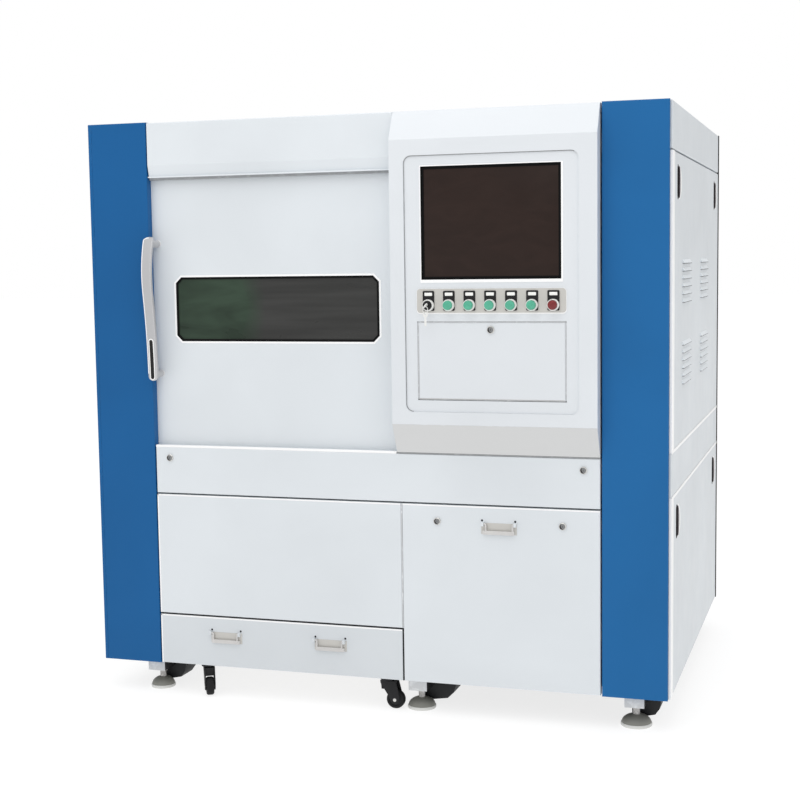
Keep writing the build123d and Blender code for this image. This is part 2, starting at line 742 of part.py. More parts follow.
def make_flap():
    """Keyboard flap with its two hinge pins."""
    width = FLAP_WIDTH - 2 * FLAP_GAP
    height = FLAP_HEIGHT - 2 * FLAP_GAP
    plane = front_plane(console_middle, recess_face, (flap_top + flap_bottom) / 2)
    flap = plane.location * tray(width, height, FLAP_DEPTH)
    flap = flap - rod_back(console_middle, (recess_face - SHEET, flap_back), flap_lock_level,
                           LOCK_RADIUS + LOCK_CLEARANCE)
    for side in (-1, 1):
        start = console_middle + side * (width / 2 - SHEET / 2)
        end = start + side * HINGE_PIN_LENGTH
        flap = flap + rod_across((min(start, end), max(start, end)), flap_hinge_depth, flap_hinge_level,
                                 HINGE_PIN_RADIUS)
    return flap


def make_keyboard():
    """Keyboard on the inner face of the flap."""
    half = KEYBOARD_WIDTH / 2
    bottom = flap_bottom + KEYBOARD_RISE
    base_back = flap_back + KEYBOARD_BASE
    base = block((console_middle - half, console_middle + half), (flap_back, base_back),
                 (bottom, bottom + KEYBOARD_HEIGHT))
    keys_half = half - KEYBOARD_MARGIN
    keys = block((console_middle - keys_half, console_middle + keys_half), (base_back, base_back + KEYBOARD_KEYS),
                 (bottom + KEYBOARD_MARGIN, bottom + KEYBOARD_HEIGHT - KEYBOARD_MARGIN))
    bars = block((console_middle - half, console_middle + half), (recess_face + SHEET, flap_back),
                 (bottom, bottom + KEYBOARD_MARGIN))
    return base + keys + bars


def make_lock(across, height, face, toward):
    """Cam lock with its tongue lying flat."""
    back = face + LOCK_BODY
    barrel = rod_back(across, (face - LOCK_REACH, back), height, LOCK_RADIUS)
    end = across + toward * LOCK_TONGUE
    half = LOCK_TONGUE_WIDTH / 2
    tongue = block((min(across, end), max(across, end)), (back - LOCK_TONGUE_THICKNESS, back),
                   (height - half, height + half))
    return barrel + tongue


def lock_hole(across, height):
    """Hole for a cam lock in a front panel."""
    return rod_back(across, (-SHEET, 2 * SHEET), height, LOCK_RADIUS + LOCK_CLEARANCE)


def make_band():
    """Band cover between the door and the lower panels."""
    band = front_panel((-column_inner, column_inner), (band_bottom, band_top))
    for side in (-1, 1):
        band = band - lock_hole(side * (column_inner - BAND_LOCK_INSET), band_top - BAND_LOCK_DROP)
    return band


def bail_lugs(across, height):
    """Two lugs that carry a drop handle."""
    reach = BAIL_STAND + BAIL_THICKNESS + BAIL_STAND
    lugs = []
    for side in (-1, 1):
        near = across + side * (BAIL_WIDTH / 2 + BAIL_SIDE_CLEARANCE + LUG_WIDTH / 2)
        lug = block((near - LUG_WIDTH / 2, near + LUG_WIDTH / 2), (-reach, SHEET / 2),
                    (height - LUG_HEIGHT / 2, height + LUG_HEIGHT / 2))
        hole = rod_across((near - LUG_WIDTH, near + LUG_WIDTH), bail_axis, height,
                          BAIL_PIN_RADIUS + BAIL_PIN_CLEARANCE)
        lugs.append(lug - hole)
    return lugs


def make_bail(across, height):
    """Drop handle that hangs from two pins."""
    bottom = height + BAIL_HEAD - BAIL_HEIGHT
    half = BAIL_WIDTH / 2
    depth = (-BAIL_STAND - BAIL_THICKNESS, -BAIL_STAND)
    bail = block((across - half, across + half), depth, (bottom, height + BAIL_HEAD))
    corners = bail.edges().filter_by(Axis.Y).group_by(Axis.Z)[0]
    bail = fillet(corners, BAIL_CORNER)
    gap = (across - half + BAIL_ARM, across + half - BAIL_ARM)
    bail = bail - block(gap, (-4 * BAIL_THICKNESS, 0), (bottom + BAIL_GRIP, height + 2 * BAIL_HEAD))
    for side in (-1, 1):
        start = across + side * (half - SHEET)
        end = across + side * (half + BAIL_SIDE_CLEARANCE + LUG_WIDTH)
        bail = bail + rod_across((min(start, end), max(start, end)), bail_axis, height, BAIL_PIN_RADIUS)
    return bail


def make_service_panel():
    """Service panel with its lock holes and handle lugs."""
    panel = front_panel((service_left, column_inner), (FLOOR_CLEARANCE, band_bottom))
    for place in (service_left + SERVICE_LOCK_INSET, column_inner - SERVICE_LOCK_INSET):
        panel = panel - lock_hole(place, band_bottom - SERVICE_LOCK_DROP)
    for lug in bail_lugs(service_middle, service_bail_level):
        panel = panel + lug
    return panel


def make_drawer_front():
    """Front of the scrap drawer with its handle lugs."""
    front = front_panel((-column_inner, service_left), (FLOOR_CLEARANCE, drawer_top))
    for centre in drawer_bail_centres:
        for lug in bail_lugs(centre, drawer_bail_level):
            front = front + lug
    return front


def make_tray():
    """Open scrap tray with side runners, rear axle brackets and caster sockets."""
    body = block((tray_left, tray_right), (PANEL_DEPTH, tray_back), (TRAY_FLOOR, tray_top))
    inside = block((tray_left + SHEET, tray_right - SHEET), (PANEL_DEPTH + SHEET, tray_back - SHEET),
                   (TRAY_FLOOR + SHEET, 2 * tray_top))
    body = body - inside
    runner_level = (TRAY_FLOOR + RUNNER_RISE, TRAY_FLOOR + RUNNER_RISE + RUNNER_HEIGHT)
    for side, edge in ((-1, tray_left), (1, tray_right)):
        ends = (edge - side * SHEET / 2, edge + side * RUNNER_REACH)
        body = body + block((min(ends), max(ends)), (PANEL_DEPTH, tray_back), runner_level)
    for across in caster_centres:
        socket = Cylinder(CASTER_STEM_RADIUS + AXLE_CLEARANCE, 8 * SHEET)
        body = body - Pos(across, front_y + CASTER_DEPTH, TRAY_FLOOR) * socket
    bracket_spread = rear_wheel_spread - WHEEL_WIDTH - 2 * REAR_WHEEL_SIDE - BRACKET_THICKNESS
    for side in (-1, 1):
        near = tray_middle + side * bracket_spread / 2
        plate = block((near - BRACKET_THICKNESS / 2, near + BRACKET_THICKNESS / 2),
                      (rear_axle_depth - BRACKET_LENGTH / 2, rear_axle_depth + BRACKET_LENGTH / 2),
                      (axle_level - REAR_AXLE_RADIUS - BRACKET_FOOT, TRAY_FLOOR + SHEET / 2))
        hole = rod_across((near - BRACKET_THICKNESS, near + BRACKET_THICKNESS), rear_axle_depth, axle_level,
                          REAR_AXLE_RADIUS + AXLE_CLEARANCE)
        body = body + (plate - hole)
    return body


def make_rear_axle():
    """Rear axle with its two wheels."""
    half = rear_wheel_spread / 2
    reach = half + WHEEL_WIDTH / 2 + REAR_AXLE_END
    ends = (tray_middle - reach, tray_middle + reach)
    axle = rod_across(ends, rear_axle_depth, axle_level, REAR_AXLE_RADIUS)
    for side in (-1, 1):
        near = tray_middle + side * half
        axle = axle + rod_across((near - WHEEL_WIDTH / 2, near + WHEEL_WIDTH / 2), rear_axle_depth, axle_level,
                                 WHEEL_RADIUS)
    return axle


def caster_place(number, turn):
    """Place of a swivel caster under the tray."""
    return Pos(caster_centres[number], front_y + CASTER_DEPTH, 0) * Rot(0, 0, turn)


def make_fork():
    """Swivel fork with its stem and axle, trailing along X."""
    head_top = TRAY_FLOOR - CASTER_CLEARANCE
    head_bottom_level = head_top - CASTER_HEAD
    head = Pos(0, 0, head_top - CASTER_HEAD / 2) * Cylinder(CASTER_HEAD_RADIUS, CASTER_HEAD)
    stem = Pos(0, 0, head_top) * Cylinder(CASTER_STEM_RADIUS, 2 * CASTER_STEM)
    inner = WHEEL_WIDTH / 2 + FORK_SIDE
    leg = [
        (-FORK_SHOULDER, head_bottom_level + SHEET),
        (FORK_SHOULDER, head_bottom_level + SHEET),
        (CASTER_TRAIL + FORK_BOSS, axle_level + FORK_BOSS / 2),
        (CASTER_TRAIL + FORK_BOSS, axle_level - FORK_BOSS / 2),
        (CASTER_TRAIL + FORK_BOSS / 2, axle_level - FORK_BOSS),
        (CASTER_TRAIL - FORK_BOSS / 2, axle_level - FORK_BOSS),
        (CASTER_TRAIL - FORK_BOSS, axle_level - FORK_BOSS / 2),
    ]
    plate = extrude(Plane.XZ * make_face(Polyline(*leg, close=True)), amount=FORK_PLATE, dir=(0, 1, 0))
    axle = Pos(CASTER_TRAIL, 0, axle_level) * Rot(90, 0, 0) * Cylinder(AXLE_RADIUS, 2 * (inner + FORK_PLATE))
    return head + stem + Pos(0, inner, 0) * plate + Pos(0, -inner - FORK_PLATE, 0) * plate + axle


def make_wheel():
    """Caster wheel with its bore, trailing along X."""
    wheel = Cylinder(WHEEL_RADIUS, WHEEL_WIDTH) - Cylinder(AXLE_RADIUS + AXLE_CLEARANCE, 2 * WHEEL_WIDTH)
    return Pos(CASTER_TRAIL, 0, axle_level) * Rot(90, 0, 0) * wheel


def make_door():
    """Sliding door with its window opening."""
    door = tray(door_right - door_left, door_top - door_bottom, DOOR_DEPTH)
    plane = front_plane((door_left + door_right) / 2, DOOR_SET, (door_top + door_bottom) / 2)
    opening = chamfer(Rectangle(WINDOW_WIDTH, WINDOW_HEIGHT).vertices(), WINDOW_CORNER)
    through = (DOOR_SET - SHEET, DOOR_SET + 2 * SHEET)
    return plane.location * door - front_cut(opening, window_middle, window_level, through)


def make_window():
    """Laser-safe pane behind the door face."""
    pane = Rectangle(WINDOW_WIDTH + 2 * GLASS_LAP, WINDOW_HEIGHT + 2 * GLASS_LAP)
    depth = (DOOR_SET + SHEET, DOOR_SET + SHEET + GLASS_THICKNESS)
    return front_cut(pane, window_middle, window_level, depth)


def handle_edge(shift):
    """Upper and lower arc of the door handle, moved out from its middle line by the given shift."""
    rise = HANDLE_BULGE_STAND - HANDLE_TOP_STAND
    fall = HANDLE_BULGE_STAND - HANDLE_FOOT_STAND
    run = HANDLE_LENGTH - HANDLE_BULGE_DROP
    turn = 2 * atan2(fall, run)
    upper_radius = (HANDLE_BULGE_DROP ** 2 + rise ** 2) / (2 * rise)
    lower_radius = run / sin(turn) - upper_radius
    upper_depth = front_y + upper_radius - HANDLE_BULGE_STAND
    lower_depth = front_y - lower_radius - HANDLE_FOOT_STAND
    upper_middle = Vector(handle_middle, upper_depth, handle_top - HANDLE_BULGE_DROP)
    lower_middle = Vector(handle_middle, lower_depth, handle_bottom)
    start_turn = atan2(HANDLE_BULGE_DROP, upper_radius - rise)
    outer = upper_radius + shift
    inner = lower_radius - shift
    points = [upper_middle + Vector(0, -cos(angle), sin(angle)) * outer for angle in (start_turn, 0, -turn)]
    bends = [lower_middle + Vector(0, cos(angle), sin(angle)) * inner for angle in (turn, turn / 2, 0)]
    return ThreePointArc(*points), ThreePointArc(*bends)


def make_handle():
    """Bowed door handle on two posts."""
    upper, lower = handle_edge(HANDLE_THICKNESS / 2)
    back_upper, back_lower = handle_edge(-HANDLE_THICKNESS / 2)
    ends = [Line(upper @ 0, back_upper @ 0), Line(lower @ 1, back_lower @ 1)]
    side = make_face([upper, lower, back_upper, back_lower] + ends)
    handle = extrude(side, amount=HANDLE_WIDTH / 2, dir=(1, 0, 0), both=True)
    handle = fillet(handle.edges().filter_by(GeomType.CIRCLE), HANDLE_CORNER)
    top_post = (handle_top - HANDLE_POST_INSET, HANDLE_TOP_STAND)
    foot_post = (handle_bottom + HANDLE_POST_INSET, HANDLE_FOOT_STAND)
    for level, stand in (top_post, foot_post):
        handle = handle + rod_back(handle_middle, (-stand, DOOR_SET), level, HANDLE_POST_RADIUS)
    slot_face = HANDLE_SLOT_DEPTH - HANDLE_FOOT_STAND - HANDLE_THICKNESS / 2
    slot_bottom = handle_bottom + HANDLE_SLOT_WIDTH
    slot_across = (handle_middle - HANDLE_SLOT_WIDTH / 2, handle_middle + HANDLE_SLOT_WIDTH / 2)
    slot_height = (slot_bottom, slot_bottom + HANDLE_SLOT_LENGTH)
    slot = block(slot_across, (-CONSOLE_PROUD - HANDLE_THICKNESS, slot_face), slot_height)
    return handle - slot


def make_tracks():
    """Top track and bottom guide of the door."""
    across = (-post_inner, post_inner)
    depth = (PANEL_DEPTH, PANEL_DEPTH + TRACK_DEPTH)
    track = block(across, depth, (track_bottom, roof_level[0]))
    track = track - block(across, (depth[0] + TRACK_WALL, depth[1] - TRACK_WALL),
                          (track_bottom + TRACK_WALL, roof_level[0] - TRACK_WALL))
    track = track - block(across, (track_middle - TRACK_SLOT / 2, track_middle + TRACK_SLOT / 2),
                          (track_bottom - SHEET, track_bottom + 2 * TRACK_WALL))
    guide = block(across, depth, (guide_top - GUIDE_HEIGHT, guide_top))
    guide = guide - block(across, (track_middle - GUIDE_GROOVE / 2, track_middle + GUIDE_GROOVE / 2),
                          (guide_top - GUIDE_GROOVE_DEPTH, guide_top + SHEET))
    return group([track, guide])


def make_shoes():
    """Hanging and guiding shoes on the door."""
    half_stem = SHOE_THICKNESS / 2
    half_head = TRACK_DEPTH / 2 - TRACK_WALL - SHOE_SIDE_CLEARANCE
    head_bottom_level = track_bottom + TRACK_WALL + SHOE_CLEARANCE
    hanger = [
        (track_middle - half_stem, door_top),
        (track_middle + half_stem, door_top),
        (track_middle + half_stem, head_bottom_level),
        (track_middle + half_head, head_bottom_level),
        (track_middle + half_head, head_bottom_level + SHOE_HEAD),
        (track_middle - half_head, head_bottom_level + SHOE_HEAD),
        (track_middle - half_head, head_bottom_level),
        (track_middle - half_stem, head_bottom_level),
    ]
    shoes = []
    for start in (door_left + SHOE_INSET, door_right - SHOE_INSET - SHOE_LENGTH):
        across = (start, start + SHOE_LENGTH)
        shoes.append(side_outline(hanger, across))
        shoes.append(block(across, (track_middle - half_stem, track_middle + half_stem),
                           (guide_top - SHOE_DIP, door_bottom)))
    return group(shoes)


def louvre():
    """Pressed hood that slopes out to its lower edge."""
    points = [
        (0, -SHEET / 2),
        (0, 0),
        (-LOUVRE_DROP, LOUVRE_REACH),
        (-LOUVRE_DROP, -SHEET / 2),
    ]
    solid = extrude(Plane.YZ * make_face(Polyline(*points, close=True)), amount=LOUVRE_LENGTH, dir=(1, 0, 0))
    return Pos(-LOUVRE_LENGTH / 2, 0, 0) * solid


def side_plane(side, height):
    """Plane that looks out of the right side, or of the left side."""
    origin = (side * half_width, front_y + BODY_DEPTH / 2, height)
    return Plane(origin=origin, x_dir=(0, side, 0), z_dir=(side, 0, 0))


def make_side_cover(side, height, group_drops):
    """Lift-off side cover with finger slots and louvres."""
    length = BODY_DEPTH - 2 * COVER_INSET
    tall = height[1] - height[0] - PANEL_GAP
    cover = tray(length, tall, COVER_DEPTH)
    for depth in FINGER_SLOT_DEPTHS:
        place = Pos(side * (depth - BODY_DEPTH / 2), tall / 2 - FINGER_SLOT_DROP, 0)
        sketch = SlotOverall(FINGER_SLOT_LENGTH, FINGER_SLOT_WIDTH, rotation=90)
        slot = extrude(sketch, amount=4 * SHEET, both=True)
        cover = cover - place * slot
    hoods = []
    for depth in LOUVRE_DEPTHS:
        for drop in group_drops:
            for row in range(LOUVRE_ROWS):
                level = tall / 2 - drop - row * LOUVRE_PITCH
                hoods.append(Pos(side * (depth - BODY_DEPTH / 2), level, 0) * louvre())
    if hoods:
        cover = cover + hoods
    return side_plane(side, sum(height) / 2).location * cover


def side_levels():
    """Heights of the four side pieces, from the top."""
    first = body_top - SIDE_TOP_HEIGHT
    second = first - SIDE_UPPER_HEIGHT
    third = second - SIDE_MIDDLE_HEIGHT
    return [(first, body_top), (second, first), (third, second), (FLOOR_CLEARANCE, third)]


def make_side_strips():
    """Fixed strips on both sides."""
    length = BODY_DEPTH - 2 * COVER_INSET
    strips = []
    for side in (-1, 1):
        for height in (side_levels()[0], side_levels()[2]):
            strip = tray(length, height[1] - height[0] - PANEL_GAP, COVER_DEPTH)
            strips.append(side_plane(side, sum(height) / 2).location * strip)
    return group(strips)


def make_roof():
    """Folded roof panel on the top beams."""
    roof = tray(2 * cover_back - PANEL_GAP, rear_tubes[1] - PANEL_DEPTH - PANEL_GAP, PANEL_DEPTH)
    return Pos(0, front_y + BODY_DEPTH / 2, body_top) * roof


def make_rear_panels():
    """Two folded rear panels with louvres."""
    split = FLOOR_CLEARANCE + REAR_LOWER_HEIGHT
    panels = []
    for height in ((FLOOR_CLEARANCE, split), (split, body_top)):
        tall = height[1] - height[0] - PANEL_GAP
        panel = tray(2 * cover_back - PANEL_GAP, tall, PANEL_DEPTH)
        hoods = []
        for offset in REAR_LOUVRE_OFFSETS:
            for row in range(LOUVRE_ROWS):
                hoods.append(Pos(offset, tall / 2 - REAR_LOUVRE_DROP - row * LOUVRE_PITCH, 0) * louvre())
        panel = panel + hoods
        rise = spigot_level - sum(height) / 2
        panel = panel - Pos(-SPIGOT_ACROSS, rise, 0) * Cylinder(spigot_bore, 4 * SHEET)
        origin = (0, front_y + BODY_DEPTH, sum(height) / 2)
        panels.append(Plane(origin=origin, x_dir=(-1, 0, 0), z_dir=(0, 1, 0)).location * panel)
    return group(panels)


def make_spigot():
    """Flanged spigot for an exhaust hose."""
    back = BODY_DEPTH + SPIGOT_LENGTH
    flange = rod_back(SPIGOT_ACROSS, (BODY_DEPTH, BODY_DEPTH + SPIGOT_FLANGE_THICKNESS), spigot_level,
                      SPIGOT_RADIUS + SPIGOT_FLANGE)
    spigot = flange + rod_back(SPIGOT_ACROSS, (BODY_DEPTH, back), spigot_level, SPIGOT_RADIUS)
    return spigot - rod_back(SPIGOT_ACROSS, (BODY_DEPTH - SHEET, back + SHEET), spigot_level, spigot_bore)


def make_partition():
    """Sheet wall between the work chamber and the electrical side."""
    depth = (front_tubes[1] + TUBE, rear_tubes[0])
    return block((chamber_right, middle_post[0]), depth, (beam_level[0], roof_level[1]))


def make_bed():
    """Two girders with their guide rails."""
    depth = (PANEL_DEPTH + TRACK_DEPTH + GIRDER_END, BODY_DEPTH - PANEL_DEPTH - GIRDER_END)
    pieces = []
    for girder, middle in zip((girder_left, girder_right), girder_middles):
        pieces.append(block(girder, depth, (beam_level[1], girder_top)))
        across = (middle - GUIDE_RAIL / 2, middle + GUIDE_RAIL / 2)
        pieces.append(block(across, depth, (girder_top, guide_rail_top)))
    return group(pieces)


def make_table():
    """Slat table: two bars and toothed slats."""
    depth = (TABLE_FRONT, TABLE_FRONT + TABLE_LENGTH)
    bar_level = (bar_top - TABLE_BAR, bar_top)
    pieces = [
        block((girder_left[1], girder_left[1] + TABLE_BAR), depth, bar_level),
        block((girder_right[0] - TABLE_BAR, girder_right[0]), depth, bar_level),
    ]
    start = girder_left[1] + SLAT_END_GAP
    end = girder_right[0] - SLAT_END_GAP
    tooth = (end - start) / SLAT_TEETH
    outline = [(start, bar_top)]
    for number in range(SLAT_TEETH):
        outline.append((start + number * tooth, slat_top - SLAT_TOOTH_HEIGHT))
        outline.append((start + (number + 0.5) * tooth, slat_top))
    outline.append((end, slat_top - SLAT_TOOTH_HEIGHT))
    outline.append((end, bar_top))
    pitch = TABLE_LENGTH / SLAT_COUNT
    for number in range(SLAT_COUNT):
        place = TABLE_FRONT + (number + 0.5) * pitch
        pieces.append(front_outline(outline, (place - SLAT_THICKNESS / 2, place + SLAT_THICKNESS / 2)))
    return group(pieces)


def make_chute():
    """Four sheet walls that lead scrap into the drawer."""
    top = bar_top - TABLE_BAR
    bottom = tray_top + CHUTE_BOTTOM_GAP
    front = TABLE_FRONT
    back = TABLE_FRONT + TABLE_LENGTH
    left = girder_left[1] + TABLE_BAR - 2 * CHUTE_SHEET
    right = girder_right[0] - TABLE_BAR + 2 * CHUTE_SHEET
    left_wall = front_outline(
        [
            (left - CHUTE_SHEET, top),
            (left, top),
            (left + CHUTE_SLOPE, bottom),
            (left + CHUTE_SLOPE - CHUTE_SHEET, bottom),
        ],
        (front, back),
    )
    right_wall = block((right, right + CHUTE_SHEET), (front, back), (bottom, top))
    front_wall = front_outline(
        [
            (left, top),
            (right, top),
            (right, bottom),
            (left + CHUTE_SLOPE, bottom),
        ],
        (front, front + CHUTE_SHEET),
    )
    rear_wall = side_outline(
        [
            (back - CHUTE_SHEET, top),
            (back, top),
            (back - CHUTE_REAR_SLOPE, bottom),
            (back - CHUTE_REAR_SLOPE - CHUTE_SHEET, bottom),
        ],
        (left + CHUTE_SLOPE, right),
    )
    return group([left_wall, right_wall, front_wall, rear_wall])


def make_gantry():
    """Gantry beam with its risers, guide blocks and cross rails."""
    pieces = []
    notch = GUIDE_RAIL / 2 + RAIL_CLEARANCE
    half = BLOCK_WIDTH / 2
    for middle in girder_middles:
        outline = [
            (middle - half, block_bottom),
            (middle - notch, block_bottom),
            (middle - notch, guide_rail_top + RAIL_CLEARANCE),
            (middle + notch, guide_rail_top + RAIL_CLEARANCE),
            (middle + notch, block_bottom),
            (middle + half, block_bottom),
            (middle + half, block_top),
            (middle - half, block_top),
        ]
        for side in (-1, 1):
            place = GANTRY_DEPTH + side * BLOCK_SPREAD / 2
            pieces.append(front_outline(outline, (place - BLOCK_LENGTH / 2, place + BLOCK_LENGTH / 2)))
        pieces.append(block((middle - RISER_WIDTH / 2, middle + RISER_WIDTH / 2),
                            (GANTRY_DEPTH - RISER_DEPTH / 2, GANTRY_DEPTH + RISER_DEPTH / 2), (block_top, beam_bottom)))
    across = (girder_left[0] + BEAM_END, girder_right[1] - BEAM_END)
    pieces.append(block(across, (beam_face, beam_face + BEAM_DEPTH), (beam_bottom, beam_bottom + BEAM_HEIGHT)))
    for side in (-1, 1):
        level = beam_middle + side * CROSS_RAIL_SPREAD / 2
        pieces.append(block((across[0] + CROSS_RAIL_END, across[1] - CROSS_RAIL_END), (cross_rail_face, beam_face),
                            (level - CROSS_RAIL / 2, level + CROSS_RAIL / 2)))
    return group(pieces)


def make_carriage():
    """Carriage that rides on the cross rails."""
    across = (chamber_middle - CARRIAGE_WIDTH / 2, chamber_middle + CARRIAGE_WIDTH / 2)
    carriage = block(across, (carriage_face, carriage_back),
                     (beam_middle - CARRIAGE_HEIGHT / 2, beam_middle + CARRIAGE_HEIGHT / 2))
    for side in (-1, 1):
        level = beam_middle + side * CROSS_RAIL_SPREAD / 2
        hook = block(across, (carriage_back, beam_face - CROSS_RAIL / 4),
                     (level - CARRIAGE_HOOK / 2, level + CARRIAGE_HOOK / 2))
        slot = block((across[0] - SHEET, across[1] + SHEET), (cross_rail_face - RAIL_CLEARANCE, beam_face),
                     (level - CROSS_RAIL / 2 - RAIL_CLEARANCE, level + CROSS_RAIL / 2 + RAIL_CLEARANCE))
        carriage = carriage + (hook - slot)
    return carriage


def make_head():
    """Cutting head with its nozzle, on a plate that rides on the carriage."""
    half = HEAD_PLATE_WIDTH / 2
    head_top = head_bottom + HEAD_LENGTH
    plate_level = (beam_middle - HEAD_PLATE_HEIGHT / 2, beam_middle + HEAD_PLATE_HEIGHT / 2)
    plate = block((chamber_middle - half, chamber_middle + half), (head_back - HEAD_PLATE, head_back), plate_level)
    arm_half = HEAD_ARM_WIDTH / 2
    arm = block((chamber_middle - arm_half, chamber_middle + arm_half), (head_depth, head_back - HEAD_PLATE / 2),
                (head_top - HEAD_ARM_HEIGHT, head_top))
    profile = [
        (0, nozzle_level),
        (NOZZLE_TIP_RADIUS, nozzle_level),
        (NOZZLE_RADIUS / 2, nozzle_level + NOZZLE_TIP),
        (NOZZLE_RADIUS, nozzle_level + NOZZLE_TIP),
        (NOZZLE_SHOULDER, head_bottom),
        (HEAD_RADIUS, head_bottom),
        (HEAD_RADIUS, head_top),
        (HEAD_CAP_RADIUS, head_top),
        (HEAD_CAP_RADIUS, head_top + HEAD_CAP_LENGTH),
        (0, head_top + HEAD_CAP_LENGTH),
    ]
    body = revolve(Plane.XZ * make_face(Polyline(*profile, close=True)), Axis.Z)
    return plate + arm + Pos(chamber_middle, front_y + head_depth, 0) * body


def right_bay_middle():
    """Middle of the bay between the partition and the right posts."""
    return (middle_post[1] + post_inner) / 2


def make_laser_source():
    """Laser source on the base shelf, with its rack plate."""
    middle = (middle_post[1] + foot_right - TUBE / 2) / 2
    half = LASER_WIDTH / 2
    level = (rail_top, rail_top + LASER_HEIGHT)
    case = block((middle - half, middle + half), (LASER_FRONT, LASER_FRONT + LASER_LENGTH), level)
    ears = (middle - half - LASER_EAR, middle + half + LASER_EAR)
    plate = block(ears, (LASER_FRONT - LASER_PLATE, LASER_FRONT), level)
    return case + plate


def make_electric_cabinet():
    """Electrical cabinet on the beam shelf, with its door."""
    middle = right_bay_middle()
    half = ELECTRIC_WIDTH / 2
    level = (beam_level[1], beam_level[1] + ELECTRIC_HEIGHT)
    case = block((middle - half, middle + half), (ELECTRIC_FRONT, ELECTRIC_FRONT + ELECTRIC_LENGTH), level)
    inset = ELECTRIC_DOOR_INSET
    door = block((middle - half + inset, middle + half - inset), (ELECTRIC_FRONT - ELECTRIC_DOOR, ELECTRIC_FRONT),
                 (level[0] + inset, level[1] - inset))
    return case + door


def make_all():
    """Every node by name."""
    upper = side_levels()[1]
    lower = side_levels()[3]
    right_column = make_right_column()
    band_lock_level = band_top - BAND_LOCK_DROP
    band_lock_place = column_inner - BAND_LOCK_INSET
    service_lock_level = band_bottom - SERVICE_LOCK_DROP
    nodes = {
        "frame": make_frame(),
        "levelling_feet": make_feet(),
        "left_column": mirror(right_column, about=Plane.YZ),
        "right_column": right_column,
        "header_panel": make_header(),
        "console_housing": make_console(),
        "monitor": make_monitor(),
        "switch_strip": make_strip(),
        "legend_plates": make_legends(),
        "switch_rings": make_rings(),
        "lower_left_panel": front_panel((-column_inner, service_left), (drawer_top, band_bottom)),
        "side_strips": make_side_strips(),
        "roof_panel": make_roof(),
        "rear_panels": make_rear_panels(),
        "exhaust_spigot": make_spigot(),
        "door_tracks": make_tracks(),
        "partition_wall": make_partition(),
        "machine_bed": make_bed(),
        "slat_table": make_table(),
        "scrap_chute": make_chute(),
        "laser_source": make_laser_source(),
        "electric_cabinet": make_electric_cabinet(),
        "sliding_door": make_door(),
        "door_window": make_window(),
        "door_handle": make_handle(),
        "door_shoes": make_shoes(),
        "keyboard_flap": make_flap(),
        "keyboard": make_keyboard(),
        "flap_lock": make_lock(console_middle, flap_lock_level, recess_face, 1),
        "band_cover": make_band(),
        "band_lock_left": make_lock(-band_lock_place, band_lock_level, 0, 1),
        "band_lock_right": make_lock(band_lock_place, band_lock_level, 0, -1),
        "service_panel": make_service_panel(),
        "service_lock_left": make_lock(service_left + SERVICE_LOCK_INSET, service_lock_level, 0, 1),
        "service_lock_right": make_lock(column_inner - SERVICE_LOCK_INSET, service_lock_level, 0, -1),
        "service_handle": make_bail(service_middle, service_bail_level),
        "drawer_front": make_drawer_front(),
        "drawer_tray": make_tray(),
        "drawer_handle_left": make_bail(drawer_bail_centres[0], drawer_bail_level),
        "drawer_handle_right": make_bail(drawer_bail_centres[1], drawer_bail_level),
        "rear_axle": make_rear_axle(),
        "caster_fork_left": caster_place(0, CASTER_LEFT_TURN) * make_fork(),
        "caster_wheel_left": caster_place(0, CASTER_LEFT_TURN) * make_wheel(),
        "caster_fork_right": caster_place(1, 0) * make_fork(),
        "caster_wheel_right": caster_place(1, 0) * make_wheel(),
        "key_switch": make_key_switch(),
        "right_upper_cover": make_side_cover(1, upper, LOUVRE_GROUP_DROPS),
        "right_lower_cover": make_side_cover(1, lower, ()),
        "left_upper_cover": make_side_cover(-1, upper, LOUVRE_GROUP_DROPS),
        "left_lower_cover": make_side_cover(-1, lower, ()),
        "gantry_beam": make_gantry(),
        "cross_carriage": make_carriage(),
        "cutting_head": make_head(),
    }
    for number in range(1, SWITCH_COUNT - 1):
        nodes[f"green_button_{number}"] = make_button(number)
    nodes["red_button"] = make_button(SWITCH_COUNT - 1)
    return nodes


def main():
    """Write one STEP file for each node."""
    os.makedirs("parts", exist_ok=True)
    for name, shape in make_all().items():
        shape.label = name
        export_step(shape, f"parts/{name}.step")


if __name__ == "__main__":
    main()
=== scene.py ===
"""Fiber laser cutting machine: paint, glass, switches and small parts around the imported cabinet.

The file is laid out as an add-on and run as a script. X runs to the operator's right, Y to the back and Z up, with the
floor at zero. Shapes are drawn in millimetres and become meshes in metres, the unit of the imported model.
"""

import json
import math
from contextlib import contextmanager

import bmesh
import bpy
from mathutils import Matrix, Vector


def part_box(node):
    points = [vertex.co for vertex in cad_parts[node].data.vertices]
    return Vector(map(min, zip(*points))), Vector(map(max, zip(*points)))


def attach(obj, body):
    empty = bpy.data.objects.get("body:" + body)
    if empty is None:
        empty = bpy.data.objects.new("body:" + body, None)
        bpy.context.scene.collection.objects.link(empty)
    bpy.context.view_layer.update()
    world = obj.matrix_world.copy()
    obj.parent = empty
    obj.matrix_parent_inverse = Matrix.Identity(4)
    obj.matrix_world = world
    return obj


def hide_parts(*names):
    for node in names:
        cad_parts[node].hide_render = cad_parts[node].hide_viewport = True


bl_info = {
    "name": "Fiber laser cutter dressing",
    "version": (1, 0, 0),
    "blender": (4, 5, 0),
    "location": "3D View > Sidebar > Laser Cutter",
    "description": "Finishes and detail pieces for the packed fiber laser cutting machine",
    "category": "Object",
}

